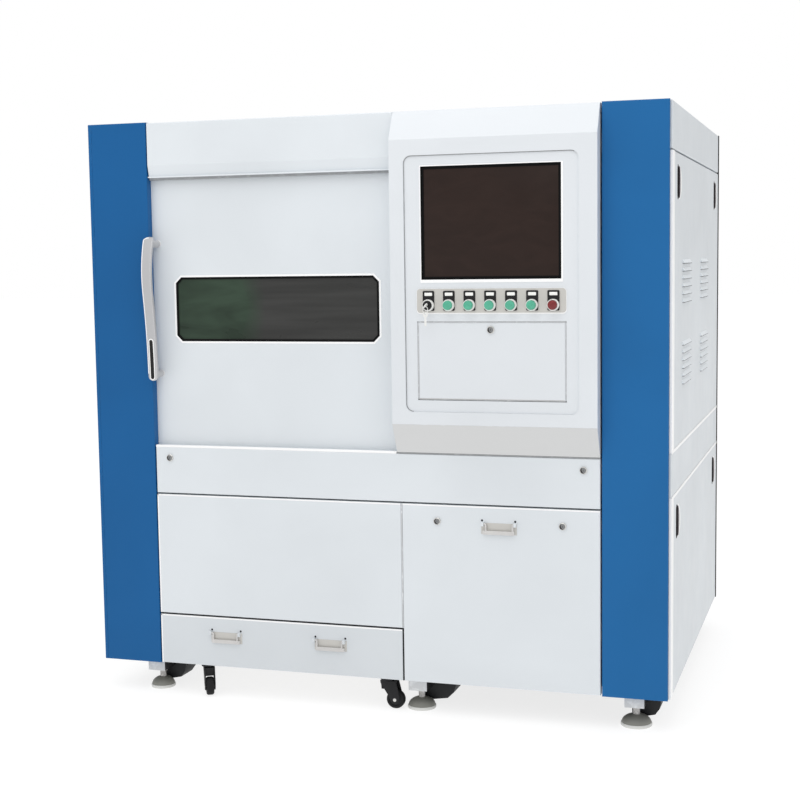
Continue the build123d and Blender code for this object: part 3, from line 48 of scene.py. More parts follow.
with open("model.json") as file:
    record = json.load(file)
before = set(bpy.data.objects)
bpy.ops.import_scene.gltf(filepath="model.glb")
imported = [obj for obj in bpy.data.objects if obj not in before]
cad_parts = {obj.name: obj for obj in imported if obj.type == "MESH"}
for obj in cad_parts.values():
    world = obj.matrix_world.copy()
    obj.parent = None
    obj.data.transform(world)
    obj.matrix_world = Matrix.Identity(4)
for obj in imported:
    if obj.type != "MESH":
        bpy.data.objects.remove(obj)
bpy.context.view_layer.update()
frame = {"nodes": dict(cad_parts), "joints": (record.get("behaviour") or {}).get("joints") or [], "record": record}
MM = 0.001


def box(node):
    """Lowest and highest corners of a node at rest, in millimetres."""
    return [Vector(corner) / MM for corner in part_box(node)]


# Places read from the frame
FRONT = box("right_column")[0].y
FRAME_NODES = frame["nodes"]
NODE_SLOTS = {part["node"]: part["material_slot"] for part in frame["record"]["subparts"]}
JOINTS = {joint["name"]: Vector(joint["pos_m"]) / MM for joint in frame["joints"] if "pos_m" in joint}

# Groups of nodes
BUTTON_NODES = [f"green_button_{number}" for number in range(1, 6)] + ["red_button"]
LOCK_NODES = ["flap_lock", "band_lock_left", "band_lock_right", "service_lock_left", "service_lock_right"]
BAIL_NODES = {"service_handle": "service_panel", "drawer_handle_left": "drawer", "drawer_handle_right": "drawer"}
# The right column takes the lighter, lit copy of the blue as painted light.
OWN_FINISHES = {"slat_table": "slats", "drawer_front": "drawer_paint", "right_column": "blue_right"}

# Sizes of the solids that their boxes don't give
DEPTH = 1170
BACK = FRONT + DEPTH
SIDE_SHEET = 785
REAR_SPLIT = 695
FLAP_HALF = 188.5
HANDLE_THICKNESS = 12
HANDLE_TOP_STAND = 24
HANDLE_FOOT_STAND = 20
HANDLE_DROP = 105
WHEEL_RADIUS = 25
CASTER_TRAIL = 22
CASTER_AXLE = 25.5

# Turns of a drawing: to the operator, along X and to the back
OUT_OF_FRONT = Vector((0, -1, 0))
UPRIGHT = Matrix(((1, 0, 0), (0, 0, -1), (0, 1, 0))).to_4x4()
CROSSWISE = Matrix(((0, 0, 1), (1, 0, 0), (0, 1, 0))).to_4x4()
INWARD = Matrix(((-1, 0, 0), (0, 0, 1), (0, 1, 0))).to_4x4()
BACKWARD = Matrix.Rotation(math.radians(-90), 4, "X")


def linear(red, green, blue):
    """Scene colour of a screen colour given in bytes."""
    shares = []
    for value in (red, green, blue):
        share = value / 255
        shares.append(share / 12.92 if share <= 0.04045 else ((share + 0.055) / 1.055) ** 2.4)
    return tuple(shares)


# ------------------------------------------------------------------------------------------------ settings


def length_property(name, description, default):
    """Length that a user may change, given in millimetres."""
    return bpy.props.FloatProperty(
        name=name, description=description, default=default * MM, min=0.0, subtype="DISTANCE", unit="LENGTH"
    )


def colour_property(name, description, *default):
    """Colour that a user may change, given in bytes."""
    return bpy.props.FloatVectorProperty(
        name=name, description=description, default=linear(*default), min=0.0, max=1.0, size=3, subtype="COLOR"
    )


def angle_property(name, description, degrees):
    """Angle that a user may change."""
    return bpy.props.FloatProperty(
        name=name, description=description, default=math.radians(degrees), subtype="ANGLE", unit="ROTATION"
    )


def number_property(name, description, default, unit="NONE"):
    """Number that a user may change."""
    return bpy.props.FloatProperty(name=name, description=description, default=default, unit=unit)


class CutterColours(bpy.types.PropertyGroup):
    """Colours of the machine's finishes."""

    white_paint: colour_property("Front paint", "Powder coat of the front panels", 221, 226, 230)
    # Darker than the front paint: painted shade of the sides, roof and back.
    side_paint: colour_property("Side paint", "Powder coat of the sides, roof and back", 213, 218, 222)
    console_paint: colour_property("Console paint", "Powder coat of the console", 223, 227, 231)
    # The two columns take a shaded and a lit copy of one blue: painted light, lighter on the right column.
    blue_paint: colour_property("Column paint", "Powder coat of the left corner column", 21, 92, 150)
    blue_right: colour_property("Right column paint", "Powder coat of the right corner column", 28, 101, 160)
    black_paint: colour_property("Frame paint", "Paint of the welded frame", 34, 35, 37)
    strip_paint: colour_property("Strip", "Anodised switch strip", 200, 198, 193)
    bed_paint: colour_property("Bed paint", "Hammered paint of the machine bed", 96, 104, 112)
    steel: colour_property("Steel", "Bright steel", 176, 174, 170)
    chrome: colour_property("Chrome", "Plated locks and bolts", 214, 213, 210)
    aluminium: colour_property("Aluminium", "Anodised aluminium", 205, 206, 208)
    black_plastic: colour_property("Black plastic", "Moulded black plastic", 22, 22, 24)
    rubber: colour_property("Rubber", "Black rubber", 26, 26, 27)
    green: colour_property("Green button", "Start buttons", 78, 172, 142)
    red: colour_property("Red button", "Stop button", 118, 20, 24)
    screen: colour_property("Screen", "Display that is switched off", 44, 32, 28)
    # Painted light and shade of the pane: where light comes through and where the chamber behind is dark.
    pane_green: colour_property("Pane, left", "Laser-safe pane where light comes through", 47, 62, 50)
    pane_grey: colour_property("Pane, right", "Laser-safe pane with the dark chamber behind it", 58, 58, 57)


class CutterSizes(bpy.types.PropertyGroup):
    """Sizes of the small pieces."""

    gasket_width: length_property("Gasket width", "Black seal around the window", 6)
    # Width of the window's white strip of painted highlight.
    window_trim: length_property("Window trim", "White edging outside the window seal", 5)
    screen_border: length_property("Screen border", "Black border of the display", 7)
    handle_edge: length_property("Handle edge", "Rounding of the door handle", 5)
    insert_width: length_property("Legend insert", "Width of the blank legend inserts", 20)
    key_ring: length_property("Key ring", "Radius of the key ring", 9)
    screw_radius: length_property("Screw radius", "Head radius of the panel screws", 5)
    foot_thread: length_property("Foot thread", "Pitch of the thread on the levelling feet", 2)
    # The dark gap under a louvre is painted shade.
    louvre_mouth: length_property("Louvre mouth", "Height of the dark gap under a louvre", 1.5)


class CutterStudio(bpy.types.PropertyGroup):
    """Camera and lights."""

    camera_yaw: angle_property("Camera turn", "Turn of the view from straight ahead to the left", 17.65)
    camera_pitch: angle_property("Camera tilt", "Tilt of the view below level", 5.52)
    camera_roll: angle_property("Camera roll", "Roll of the view", -0.8)
    camera_across: number_property("Camera across", "Camera place along X", 1.2267, "LENGTH")
    camera_distance: length_property("Camera distance", "Camera distance in front of the cabinet face", 3567.8)
    camera_height: length_property("Camera height", "Camera height above the floor", 1190.7)
    camera_lens: number_property("Lens", "Focal length on a 36 mm wide frame", 65.57, "CAMERA")
    key_power: number_property("Key light", "Power of the main light", 16.5, "POWER")
    top_power: number_property("Top light", "Power of the light above", 21.6, "POWER")
    side_power: number_property("Side light", "Power of the light at the right", 3.0, "POWER")
    room_light: number_property("Room light", "Even light from all sides", 0.75)


def colour_of(value):
    """Colour setting of that name, or the scene colour of three bytes."""
    if isinstance(value, str):
        return tuple(getattr(bpy.context.scene.cutter_colours, value))
    return linear(*value)


def size(name):
    """Size setting of that name, in millimetres."""
    return getattr(bpy.context.scene.cutter_sizes, name) / MM


# ------------------------------------------------------------------------------------------------ finishes


class Finish:
    """Node material that is built on Object coordinates."""

    def __init__(self, name):
        self.material = bpy.data.materials.new(f"{name}_finish")
        self.material.use_nodes = True
        self.tree = self.material.node_tree
        self.tree.nodes.clear()
        self.shader = self.node("ShaderNodeBsdfPrincipled")
        self.coords = self.node("ShaderNodeTexCoord").outputs["Object"]
        self.node("ShaderNodeOutputMaterial", {"Surface": self.shader.outputs["BSDF"]})

    def node(self, kind, links=None, values=None, **settings):
        """Node with its settings, values and incoming links."""
        node = self.tree.nodes.new(kind)
        for name, value in settings.items():
            setattr(node, name, value)
        for name, value in (values or {}).items():
            node.inputs[name].default_value = value
        for name, source in (links or {}).items():
            self.tree.links.new(source, node.inputs[name])
        return node

    def math(self, operation, *sources):
        """Result of a sum on sockets."""
        return self.node("ShaderNodeMath", dict(enumerate(sources)), operation=operation).outputs["Value"]

    def split(self, source, axis):
        """One axis of a vector."""
        return self.node("ShaderNodeSeparateXYZ", {"Vector": source}).outputs[axis]

    def noise(self, scale, detail=2.0, distortion=0.0, stretch=None, turn=0.0):
        """Noise, stretched along an axis and turned about Y where asked."""
        coords = self.coords
        if stretch:
            values = {"Scale": stretch, "Rotation": (0.0, math.radians(turn), 0.0)}
            coords = self.node("ShaderNodeMapping", {"Vector": coords}, values).outputs["Vector"]
        values = {"Scale": scale, "Detail": detail, "Distortion": distortion}
        return self.node("ShaderNodeTexNoise", {"Vector": coords}, values).outputs["Fac"]

    def rescale(self, source, low, high, to_low=0.0, to_high=1.0):
        """Source rescaled between two limits."""
        values = {"From Min": low, "From Max": high, "To Min": to_low, "To Max": to_high}
        return self.node("ShaderNodeMapRange", {"Value": source}, values).outputs["Result"]

    def mix(self, share, first, second):
        """Colour between two colours; each is a colour or a socket."""
        node = self.node("ShaderNodeMix", {"Factor": share}, data_type="RGBA")
        for socket, colour in ((node.inputs[6], first), (node.inputs[7], second)):
            if isinstance(colour, bpy.types.NodeSocket):
                self.tree.links.new(colour, socket)
            else:
                socket.default_value = (*colour, 1.0)
        return node.outputs[2]

    def two_tones(self, share, colour, low, high):
        """Colour between a darker and a lighter tone of one colour."""
        return self.mix(share, shade(colour, low), shade(colour, high))

    def bump(self, source, strength, distance):
        """Bump on the shader's normal."""
        values = {"Strength": strength, "Distance": distance * MM}
        bump = self.node("ShaderNodeBump", {"Height": source}, values)
        self.tree.links.new(bump.outputs["Normal"], self.shader.inputs["Normal"])

    def worn_edges(self, radius, low, high):
        """Share of rubbed paint and painted edge highlight that rises along sharp edges, broken up by noise."""
        bevel = self.node("ShaderNodeBevel", values={"Radius": radius * MM}, samples=3)
        normals = {0: bevel.outputs["Normal"], 1: self.node("ShaderNodeNewGeometry").outputs["Normal"]}
        dot = self.node("ShaderNodeVectorMath", normals, operation="DOT_PRODUCT")
        edge = self.rescale(self.math("ABSOLUTE", dot.outputs["Value"]), 0.995, 0.85)
        return self.math("MULTIPLY", edge, self.rescale(self.noise(26.0, 4.0), low, high))

    def done(self, colour, roughness, **values):
        """Material with its colour, its roughness and the shader's constant values."""
        self.tree.links.new(colour, self.shader.inputs["Base Color"])
        self.tree.links.new(roughness, self.shader.inputs["Roughness"])
        for name, value in values.items():
            self.shader.inputs[SHADER_SOCKETS[name]].default_value = value
        return self.material


SHADER_SOCKETS = {
    "specular": "Specular IOR Level", "metallic": "Metallic", "coat": "Coat Weight", "glow": "Emission Strength",
    "glow_colour": "Emission Color",
}


def shade(colour, amount):
    """Colour made lighter or darker."""
    return tuple(min(1.0, channel * amount) for channel in colour)


def paint_finish(name, colour, edge, roughness=0.42, cloud=0.035, grain=420.0, specular=0.35, rub_and_highlight=(2.2, 0.45, 0.75),
                 tones=None, raised=None):
    """Powder coat: faint clouds, orange-peel bump, rubbed edges in a lighter colour that is partly a painted highlight,
    painted shade and light by which way a face looks, and painted light on raised faces.
    """
    paint = Finish(name)
    clouds = paint.rescale(paint.noise(2.6, 3.0, 0.4), 0.3, 0.7)
    body = paint.two_tones(clouds, colour, 1 - cloud, 1 + cloud)
    # Painted shade on faces that look down; faces that look up take the plain colour.
    if tones:
        up = paint.split(paint.node("ShaderNodeNewGeometry").outputs["Normal"], "Z")
        under = paint.mix(paint.rescale(up, -0.1, -0.5), body, tones[0])
        body = paint.mix(paint.rescale(up, 0.1, 0.5), under, tones[1])
    # Painted light: faces that stand out beyond the side sheet, such as the louvre hoods, are made lighter to cancel
    # their shade.
    if raised:
        limit, lift = raised
        out = paint.math("ABSOLUTE", paint.split(paint.coords, "X"))
        body = paint.mix(paint.rescale(out, limit * MM, (limit + 0.3) * MM), body, shade(colour, lift))
    # Painted highlight: the lighter edge colour goes on the rubbed edges.
    with_edge_light = paint.mix(paint.worn_edges(*rub_and_highlight), body, edge)
    sheen = paint.rescale(paint.noise(14.0, 4.0), 0.3, 0.7, roughness - 0.06, roughness + 0.06)
    paint.bump(paint.noise(grain), 0.12, 0.3)
    return paint.done(with_edge_light, sheen, specular=specular)


def metal_finish(name, colour, roughness, stretch=(1.0, 1.0, 1.0), grain=300.0, tarnish=0.12):
    """Bright metal with fine lines along one axis and a little tarnish."""
    metal = Finish(name)
    lines = metal.noise(grain, 3.0, 0.0, stretch)
    patches = metal.rescale(metal.noise(22.0, 4.0, 0.6), 0.35, 0.7)
    body = metal.two_tones(patches, colour, 1.04, 1 - tarnish)
    lined = metal.mix(metal.rescale(lines, 0.3, 0.7), body, shade(colour, 1 - tarnish / 2))
    metal.bump(lines, 0.08, 0.15)
    sheen = metal.rescale(lines, 0.25, 0.75, roughness - 0.05, roughness + 0.09)
    return metal.done(lined, sheen, metallic=1.0)


def moulded_finish(name, colour, roughness, grain=900.0, coat=0.0, specular=0.45):
    """Moulded plastic or rubber: fine grain, scuffed high spots and an uneven sheen."""
    plastic = Finish(name)
    scuffs = plastic.noise(60.0, 5.0, 0.8)
    body = plastic.two_tones(plastic.rescale(scuffs, 0.5, 0.8), colour, 1.0, 1.35)
    sheen = plastic.rescale(scuffs, 0.3, 0.7, roughness - 0.05, roughness + 0.08)
    plastic.bump(plastic.noise(grain), 0.1, 0.15)
    return plastic.done(body, sheen, coat=coat, specular=specular)


def screen_finish(name):
    """Display glass that is switched off: dark, with a faint wiped film."""
    glass = Finish(name)
    film = glass.noise(9.0, 3.0, 1.2, (1.0, 1.0, 2.5))
    body = glass.two_tones(glass.rescale(film, 0.35, 0.7), colour_of("screen"), 0.92, 1.12)
    sheen = glass.rescale(glass.noise(30.0, 4.0, 0.5), 0.3, 0.7, 0.3, 0.42)
    glass.bump(glass.noise(700.0, 1.0), 0.02, 0.05)
    return glass.done(body, sheen, specular=0.16)


def pane_finish(name):
    """Laser-safe pane with painted light: green on the left where light comes through, smoky grey on the right for the
    shade of the dark chamber behind it, with painted streaks of what lies behind.
    """
    pane = Finish(name)
    low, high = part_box("door_window")
    border = low.x + 0.38 * (high.x - low.x)
    wobble = pane.rescale(pane.noise(6.0), 0.0, 1.0, -0.05, 0.05)
    moved = pane.math("ADD", pane.split(pane.coords, "X"), wobble)
    side = pane.rescale(moved, border - 0.03, border + 0.03)
    waves = pane.noise(8.0, 2.0, 0.6, (1.0, 1.0, 2.6), -22)
    green = pane.two_tones(pane.rescale(waves, 0.32, 0.72), colour_of("pane_green"), 0.72, 1.32)
    bands = pane.noise(6.0, 2.0, 0.3, (0.5, 1.0, 7.0), -4)
    grey = pane.two_tones(pane.rescale(bands, 0.35, 0.7), colour_of("pane_grey"), 0.84, 1.18)
    pane.bump(pane.noise(40.0, 1.0), 0.03, 0.2)
    return pane.done(pane.mix(side, green, grey), pane.rescale(waves, 0.3, 0.7, 0.26, 0.38), specular=0.2)


def slat_finish(name):
    """Cutting slats: steel with scorched, spattered tips."""
    slat = Finish(name)
    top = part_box("slat_table")[1].z
    spatter = slat.rescale(slat.noise(90.0, 5.0), 0.0, 1.0, -0.016, 0.016)
    scorch = slat.rescale(slat.math("ADD", slat.split(slat.coords, "Z"), spatter), top - 0.022, top)
    body = slat.mix(scorch, shade(colour_of("steel"), 0.75), linear(66, 54, 46))
    slat.bump(slat.noise(240.0, 4.0), 0.25, 0.4)
    return slat.done(body, slat.rescale(scorch, 0.0, 1.0, 0.38, 0.7), metallic=0.85)


def floor_finish(name):
    """Pale studio floor with a soft, even grain and a glow that keeps it white in the shade."""
    floor = Finish(name)
    grain = floor.noise(3.0, 4.0)
    body = floor.mix(grain, linear(146, 146, 146), linear(152, 152, 152))
    sheen = floor.rescale(grain, 0.3, 0.7, 0.75, 0.9)
    return floor.done(body, sheen, specular=0.1, glow_colour=(1.0, 1.0, 1.0, 1.0), glow=0.79)


def panel_finish(name):
    """Powder coat of the panels: greyer on the drawer, with painted shade on the console's downward faces and painted
    light on the raised side forms.
    """
    rub_and_highlight = (3.0, 0.2, 0.5)
    if name == "drawer_paint":
        white = colour_of("white_paint")
        return paint_finish(name, shade(white, 0.92), white, rub_and_highlight=rub_and_highlight)
    colour = colour_of(name)
    # Lighter edge colour: rubbed paint and a painted highlight.
    edge = shade(colour, 1.2)
    if name == "console_paint":
        # The console's downward faces take a darker grey: painted shade.
        return paint_finish(name, colour, edge, rub_and_highlight=(1.2, 0.5, 0.8), tones=(linear(210, 210, 209), colour))
    # Painted light on the raised forms of the side covers.
    raised = (SIDE_SHEET + 0.3, 1.3) if name == "side_paint" else None
    return paint_finish(name, colour, edge, rub_and_highlight=rub_and_highlight, raised=raised)


# Each row: colour as a setting or bytes, then the values that the finish takes in order; the second colour is the
# lighter one of the rubbed edges, partly a painted highlight
PAINTS = {
    "blue_paint": ("blue_paint", (92, 142, 190), 0.46, 0.05, 420.0, 0.18),
    "blue_right": ("blue_right", (92, 142, 190), 0.46, 0.05, 420.0, 0.18),
    "black_paint": ("black_paint", (96, 96, 96), 0.5, 0.12, 300.0, 0.25),
    "bed_paint": ("bed_paint", (150, 152, 154), 0.4, 0.1, 160.0, 0.4),
    "strip_paint": ("strip_paint", (226, 224, 220), 0.38, 0.04, 700.0, 0.4),
    "handle_paint": ((184, 184, 186), (250, 250, 250), 0.36, 0.03, 500.0, 0.4, (3.0, 0.1, 0.4)),
    # Near-white of the painted highlights on edges, rims and hoods.
    "trim_white": ((252, 252, 252), (255, 255, 255), 0.4, 0.015, 600.0, 0.3),
    "foot_cast": ((134, 134, 128), (176, 176, 171), 0.5, 0.1, 260.0, 0.3),
    "foot_rim": ((222, 222, 219), (250, 250, 248), 0.42, 0.06, 260.0, 0.35),
    "lock_plug": ((126, 127, 128), (200, 200, 200), 0.34, 0.06, 400.0, 0.5),
    "stud_zinc": ((208, 206, 204), (240, 240, 240), 0.36, 0.08, 320.0, 0.5),
    "bezel_silver": ((238, 238, 235), (255, 255, 255), 0.26, 0.04, 500.0, 0.6, (1.0, 0.3, 0.6)),
}
METALS = {
    "steel": ("steel", 0.36, (1.0, 0.05, 1.0)),
    "chrome": ("chrome", 0.2, (1.0, 1.0, 0.2), 260.0, 0.08),
    "aluminium": ("aluminium", 0.42, (0.05, 1.0, 1.0)),
    "brass": ((196, 158, 92), 0.3),
}
MOULDINGS = {
    "black_plastic": ("black_plastic", 0.45, 900.0, 0.0, 0.3),
    "rubber": ("rubber", 0.62, 700.0, 0.0, 0.25),
    # Grey of the louvre mouths: painted shade.
    "vent_grey": ((96, 99, 102), 0.6, 700.0, 0.0, 0.2),
    "seal_grey": ((204, 206, 208), 0.6, 700.0, 0.0, 0.2),
    # Grey of the joints, also used as painted shade.
    "joint_grey": ((156, 158, 160), 0.6, 700.0, 0.0, 0.2),
    # Grey of the dark half-rounds in the finger cups: painted shade.
    "mouth_grey": ((84, 76, 80), 0.6, 700.0, 0.0, 0.2),
    "gasket_black": ((10, 10, 11), 0.6, 700.0, 0.0, 0.12),
    "key_plastic": ((46, 47, 50), 0.5, 800.0, 0.0, 0.3),
    "insert_white": ((246, 246, 243), 0.4, 500.0),
    "green": ("green", 0.28, 300.0, 0.4),
    "red": ("red", 0.28, 300.0, 0.4),
}
OTHER_FINISHES = {
    "white_paint": panel_finish, "side_paint": panel_finish, "console_paint": panel_finish, "drawer_paint": panel_finish,
    "slats": slat_finish, "screen": screen_finish, "pane": pane_finish, "floor": floor_finish,
}


def make_finish(name):
    """Finish of that name, built from the colour settings."""
    if name in PAINTS:
        colour, edge, *values = PAINTS[name]
        return paint_finish(name, colour_of(colour), colour_of(edge), *values)
    for table, make in ((METALS, metal_finish), (MOULDINGS, moulded_finish)):
        if name in table:
            colour, *values = table[name]
            return make(name, colour_of(colour), *values)
    return OTHER_FINISHES[name](name)


def finish(name):
    """Finish of that name, made once."""
    return bpy.data.materials.get(f"{name}_finish") or make_finish(name)


# ------------------------------------------------------------------------------------------------ mesh tools


def aim(place, direction):
    """Matrix that puts local Z along a direction at a place."""
    up = "Y" if abs(Vector(direction).normalized().y) < 0.9 else "X"
    return Matrix.Translation(place) @ Vector(direction).to_track_quat("Z", up).to_matrix().to_4x4()


def shifted(across, depth, height):
    """Matrix of a drawing moved to a place."""
    return Matrix.Translation((across, depth, height))


def front_place(across, depth, height):
    """Matrix of a drawing on the front: local X to the right, local Y up and local Z towards the operator."""
    return shifted(across, depth, height) @ UPRIGHT


def join_rings(mesh, rings, tone, closed=False):
    """Faces between rings of as many points, with caps on the ends of an open run."""
    count = len(rings[0])
    for first, second in zip(rings, rings[1:] + rings[:1] if closed else rings[1:]):
        for number in range(count):
            following = (number + 1) % count
            corners = [first[number], first[following], second[following], second[number]]
            mesh.faces.new(corners).material_index = tone
    if not closed:
        mesh.faces.new(list(reversed(rings[0]))).material_index = tone
        mesh.faces.new(rings[-1]).material_index = tone


def add_block(mesh, low, high, edge, steps=1):
    """Box between two corners with rounded edges."""
    low, high = Vector(low), Vector(high)
    place = Matrix.Translation((low + high) / 2) @ Matrix.Diagonal((*(high - low), 1.0))
    made = bmesh.ops.create_cube(mesh, size=1.0, matrix=place)
    edges = {line for vertex in made["verts"] for line in vertex.link_edges}
    bmesh.ops.bevel(
        mesh, geom=list(edges), offset=edge, segments=steps, profile=0.5, affect="EDGES", clamp_overlap=True
    )


def add_turning(mesh, profile, place, steps=40, tone=0):
    """Turned solid from radius and height points, closed on its axis."""
    rings = []
    for radius, height in profile:
        count = steps if radius > 1e-4 else 1
        angles = [2 * math.pi * number / steps for number in range(count)]
        rings.append([
            mesh.verts.new(place @ Vector((radius * math.cos(angle), radius * math.sin(angle), height)))
            for angle in angles
        ])
    for first, second in zip(rings, rings[1:]):
        for number in range(steps if len(first) + len(second) > 2 else 0):
            following = (number + 1) % steps
            if len(first) == 1:
                corners = [first[0], second[following], second[number]]
            elif len(second) == 1:
                corners = [first[number], first[following], second[0]]
            else:
                corners = [first[number], first[following], second[following], second[number]]
            mesh.faces.new(corners).material_index = tone


def add_hollow_turning(mesh, profile, place, steps=40, tone=0):
    """Turned ring from a closed loop of radius and height points."""
    add_turning(mesh, [*profile, profile[0]], place, steps, tone)


def rounded_outline(width, height, corner, steps=6):
    """Points of a rounded rectangle about the origin."""
    points = []
    for across, up, start in ((1, 1, 0), (-1, 1, 90), (-1, -1, 180), (1, -1, 270)):
        for number in range(steps + 1):
            angle = math.radians(start + 90 * number / steps)
            points.append((across * (width / 2 - corner) + corner * math.cos(angle),
                           up * (height / 2 - corner) + corner * math.sin(angle)))
    return points


def cut_outline(width, height, corner):
    """Points of a rectangle with cut corners about the origin."""
    x, y = width / 2, height / 2
    return [(x, y - corner), (x - corner, y), (corner - x, y), (-x, y - corner),
            (-x, corner - y), (corner - x, -y), (x - corner, -y), (x, corner - y)]


def inset_outline(outline, amount):
    """Outline drawn in by the given amount, for outlines that bulge outwards."""
    inner = []
    for number, point in enumerate(outline):
        point = Vector(point)
        first = (point - Vector(outline[number - 1])).normalized()
        second = (Vector(outline[(number + 1) % len(outline)]) - point).normalized()
        normal = Vector((-first.y - second.y, first.x + second.x)).normalized()
        lean = max(0.5, normal.dot(Vector((-first.y, first.x))))
        inner.append(tuple(point + normal * amount / lean))
    return inner


def add_plate(mesh, outline, thickness, place, edge=0.0, tone=0):
    """Flat plate from an outline, its back at local zero, with its front edge rounded."""
    levels = [(0.0, outline), (thickness - edge, outline)]
    if edge:
        levels.append((thickness - 0.3 * edge, inset_outline(outline, 0.3 * edge)))
        levels.append((thickness, inset_outline(outline, edge)))
    rings = [[mesh.verts.new(place @ Vector((*point, height))) for point in points] for height, points in levels]
    join_rings(mesh, rings, tone)


def add_border(mesh, outline, inner, thickness, place):
    """Flat frame between two outlines of as many points, its back at local zero."""
    levels = ((0.0, outline), (thickness, outline), (thickness, inner), (0.0, inner))
    rings = [[mesh.verts.new(place @ Vector((*point, height))) for point in points] for height, points in levels]
    join_rings(mesh, rings, 0, True)


def add_rod(mesh, points, radius, steps=12, closed=False):
    """Round rod along a line of points."""
    points = [Vector(point) for point in points]
    last = len(points) - 1
    rings = []
    side = None
    for number, point in enumerate(points):
        before = points[number - 1] if closed or number else points[0]
        after = points[(number + 1) % len(points)] if closed or number < last else points[-1]
        along = (after - before).normalized()
        side = side or along.orthogonal().normalized()
        side = (side - along * side.dot(along)).normalized()
        other = along.cross(side)
        angles = [2 * math.pi * step / steps for step in range(steps)]
        ring = [mesh.verts.new(point + radius * (math.cos(angle) * side + math.sin(angle) * other)) for angle in angles]
        rings.append(ring)
    join_rings(mesh, rings, 0, closed)


def add_loft(mesh, loops, tone=0):
    """Solid through closed loops of as many points, capped at both ends."""
    join_rings(mesh, [[mesh.verts.new(point) for point in loop] for loop in loops], tone)


def to_mesh(mesh, name):
    """Plain mesh in metres, with its faces pointing outwards."""
    bmesh.ops.remove_doubles(mesh, verts=mesh.verts, dist=3e-4)
    bmesh.ops.recalc_face_normals(mesh, faces=mesh.faces)
    bmesh.ops.scale(mesh, vec=(MM, MM, MM), verts=mesh.verts)
    data = bpy.data.meshes.new(name)
    mesh.to_mesh(data)
    mesh.free()
    return data


def add_piece(name, data, finishes, body, replaced=()):
    """Object of a mesh that rides on a body and takes the given finishes."""
    data.name = name
    tones = [polygon.material_index for polygon in data.polygons]
    data.materials.clear()
    for finish_name in finishes:
        data.materials.append(finish(finish_name))
    data.polygons.foreach_set("material_index", tones)
    data.polygons.foreach_set("use_smooth", [True] * len(data.polygons))
    data.set_sharp_from_angle(angle=math.radians(40))
    piece = bpy.data.objects.new(name, data)
    bpy.context.scene.collection.objects.link(piece)
    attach(piece, body)
    if replaced:
        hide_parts(*replaced)


@contextmanager
def new_piece(name, finishes, body, slot, replaced=()):
    """Mesh to draw in, which then becomes a piece."""
    mesh = bmesh.new()
    yield mesh
    add_piece(name, to_mesh(mesh, name), finishes.split(), body, replaced)


# ------------------------------------------------------------------------------------------------ repeated pieces


COPY_LEVELS = ("Column", "Row", "Group")


def copies_tree():
    """Geometry nodes that repeat a shape in columns, rows and groups."""
    known = bpy.data.node_groups.get("Spaced copies")
    if known:
        return known
    tree = bpy.data.node_groups.new("Spaced copies", "GeometryNodeTree")
    sockets = {"Shape": "Geometry", "Start": "Vector"}
    for level in COPY_LEVELS:
        sockets[f"{level} count"] = "Int"
        sockets[f"{level} step"] = "Vector"
    sockets["Finish"] = "Material"
    for name, kind in sockets.items():
        tree.interface.new_socket(name, in_out="INPUT", socket_type=f"NodeSocket{kind}")
    tree.interface.new_socket("Copies", in_out="OUTPUT", socket_type="NodeSocketGeometry")
    given = tree.nodes.new("NodeGroupInput").outputs
    points = None
    for level in COPY_LEVELS:
        line = tree.nodes.new("GeometryNodeMeshLine")
        line.mode = "OFFSET"
        tree.links.new(given[f"{level} count"], line.inputs["Count"])
        tree.links.new(given[f"{level} step"], line.inputs["Offset"])
        if points is None:
            tree.links.new(given["Start"], line.inputs["Start Location"])
            points = line.outputs["Mesh"]
        else:
            points = repeat_on(tree, points, line.outputs["Mesh"])
    coated = tree.nodes.new("GeometryNodeSetMaterial")
    tree.links.new(repeat_on(tree, points, given["Shape"]), coated.inputs["Geometry"])
    tree.links.new(given["Finish"], coated.inputs["Material"])
    tree.links.new(coated.outputs["Geometry"], tree.nodes.new("NodeGroupOutput").inputs["Copies"])
    return tree


def repeat_on(tree, points, shape):
    """Shape repeated on points, as real geometry."""
    repeat = tree.nodes.new("GeometryNodeInstanceOnPoints")
    real = tree.nodes.new("GeometryNodeRealizeInstances")
    tree.links.new(points, repeat.inputs["Points"])
    tree.links.new(shape, repeat.inputs["Instance"])
    tree.links.new(repeat.outputs["Instances"], real.inputs["Geometry"])
    return real.outputs["Geometry"]


@contextmanager
def new_copies(name, finish_name, body, slot, start, *steps, replaced=()):
    """Mesh to draw a shape in, which is then repeated from a start by up to three counts and steps."""
    shape = bmesh.new()
    yield shape
    tree = copies_tree()
    holder = bpy.data.objects.new("copies_holder", to_mesh(shape, name))
    bpy.context.scene.collection.objects.link(holder)
    modifier = holder.modifiers.new("Spaced copies", "NODES")
    modifier.node_group = tree
    values = {"Start": tuple(Vector(start) * MM), "Finish": finish(finish_name)}
    for number, level in enumerate(COPY_LEVELS):
        count, step = steps[number] if number < len(steps) else (1, (0, 0, 0))
        values[f"{level} count"] = count
        values[f"{level} step"] = tuple(Vector(step) * MM)
    for socket in tree.interface.items_tree:
        if socket.in_out == "INPUT" and socket.name in values:
            modifier[socket.identifier] = values[socket.name]
    bpy.context.view_layer.update()
    graph = bpy.context.evaluated_depsgraph_get()
    copies = bpy.data.meshes.new_from_object(holder.evaluated_get(graph))
    bpy.data.objects.remove(holder)
    add_piece(name, copies, [finish_name], body, replaced)


# ------------------------------------------------------------------------------------------------ pieces


class CutterOperator:
    """Common part of the operators."""

    bl_options = {"REGISTER", "UNDO"}


class CUTTER_OT_paint(CutterOperator, bpy.types.Operator):
    """Give every solid of the frame the finish of its material slot"""

    bl_idname = "cutter.paint"
    bl_label = "Paint the solids"

    def execute(self, context):
        for node, solid in FRAME_NODES.items():
            solid.data.materials.clear()
            solid.data.materials.append(finish(OWN_FINISHES.get(node, NODE_SLOTS[node])))
        return {"FINISHED"}


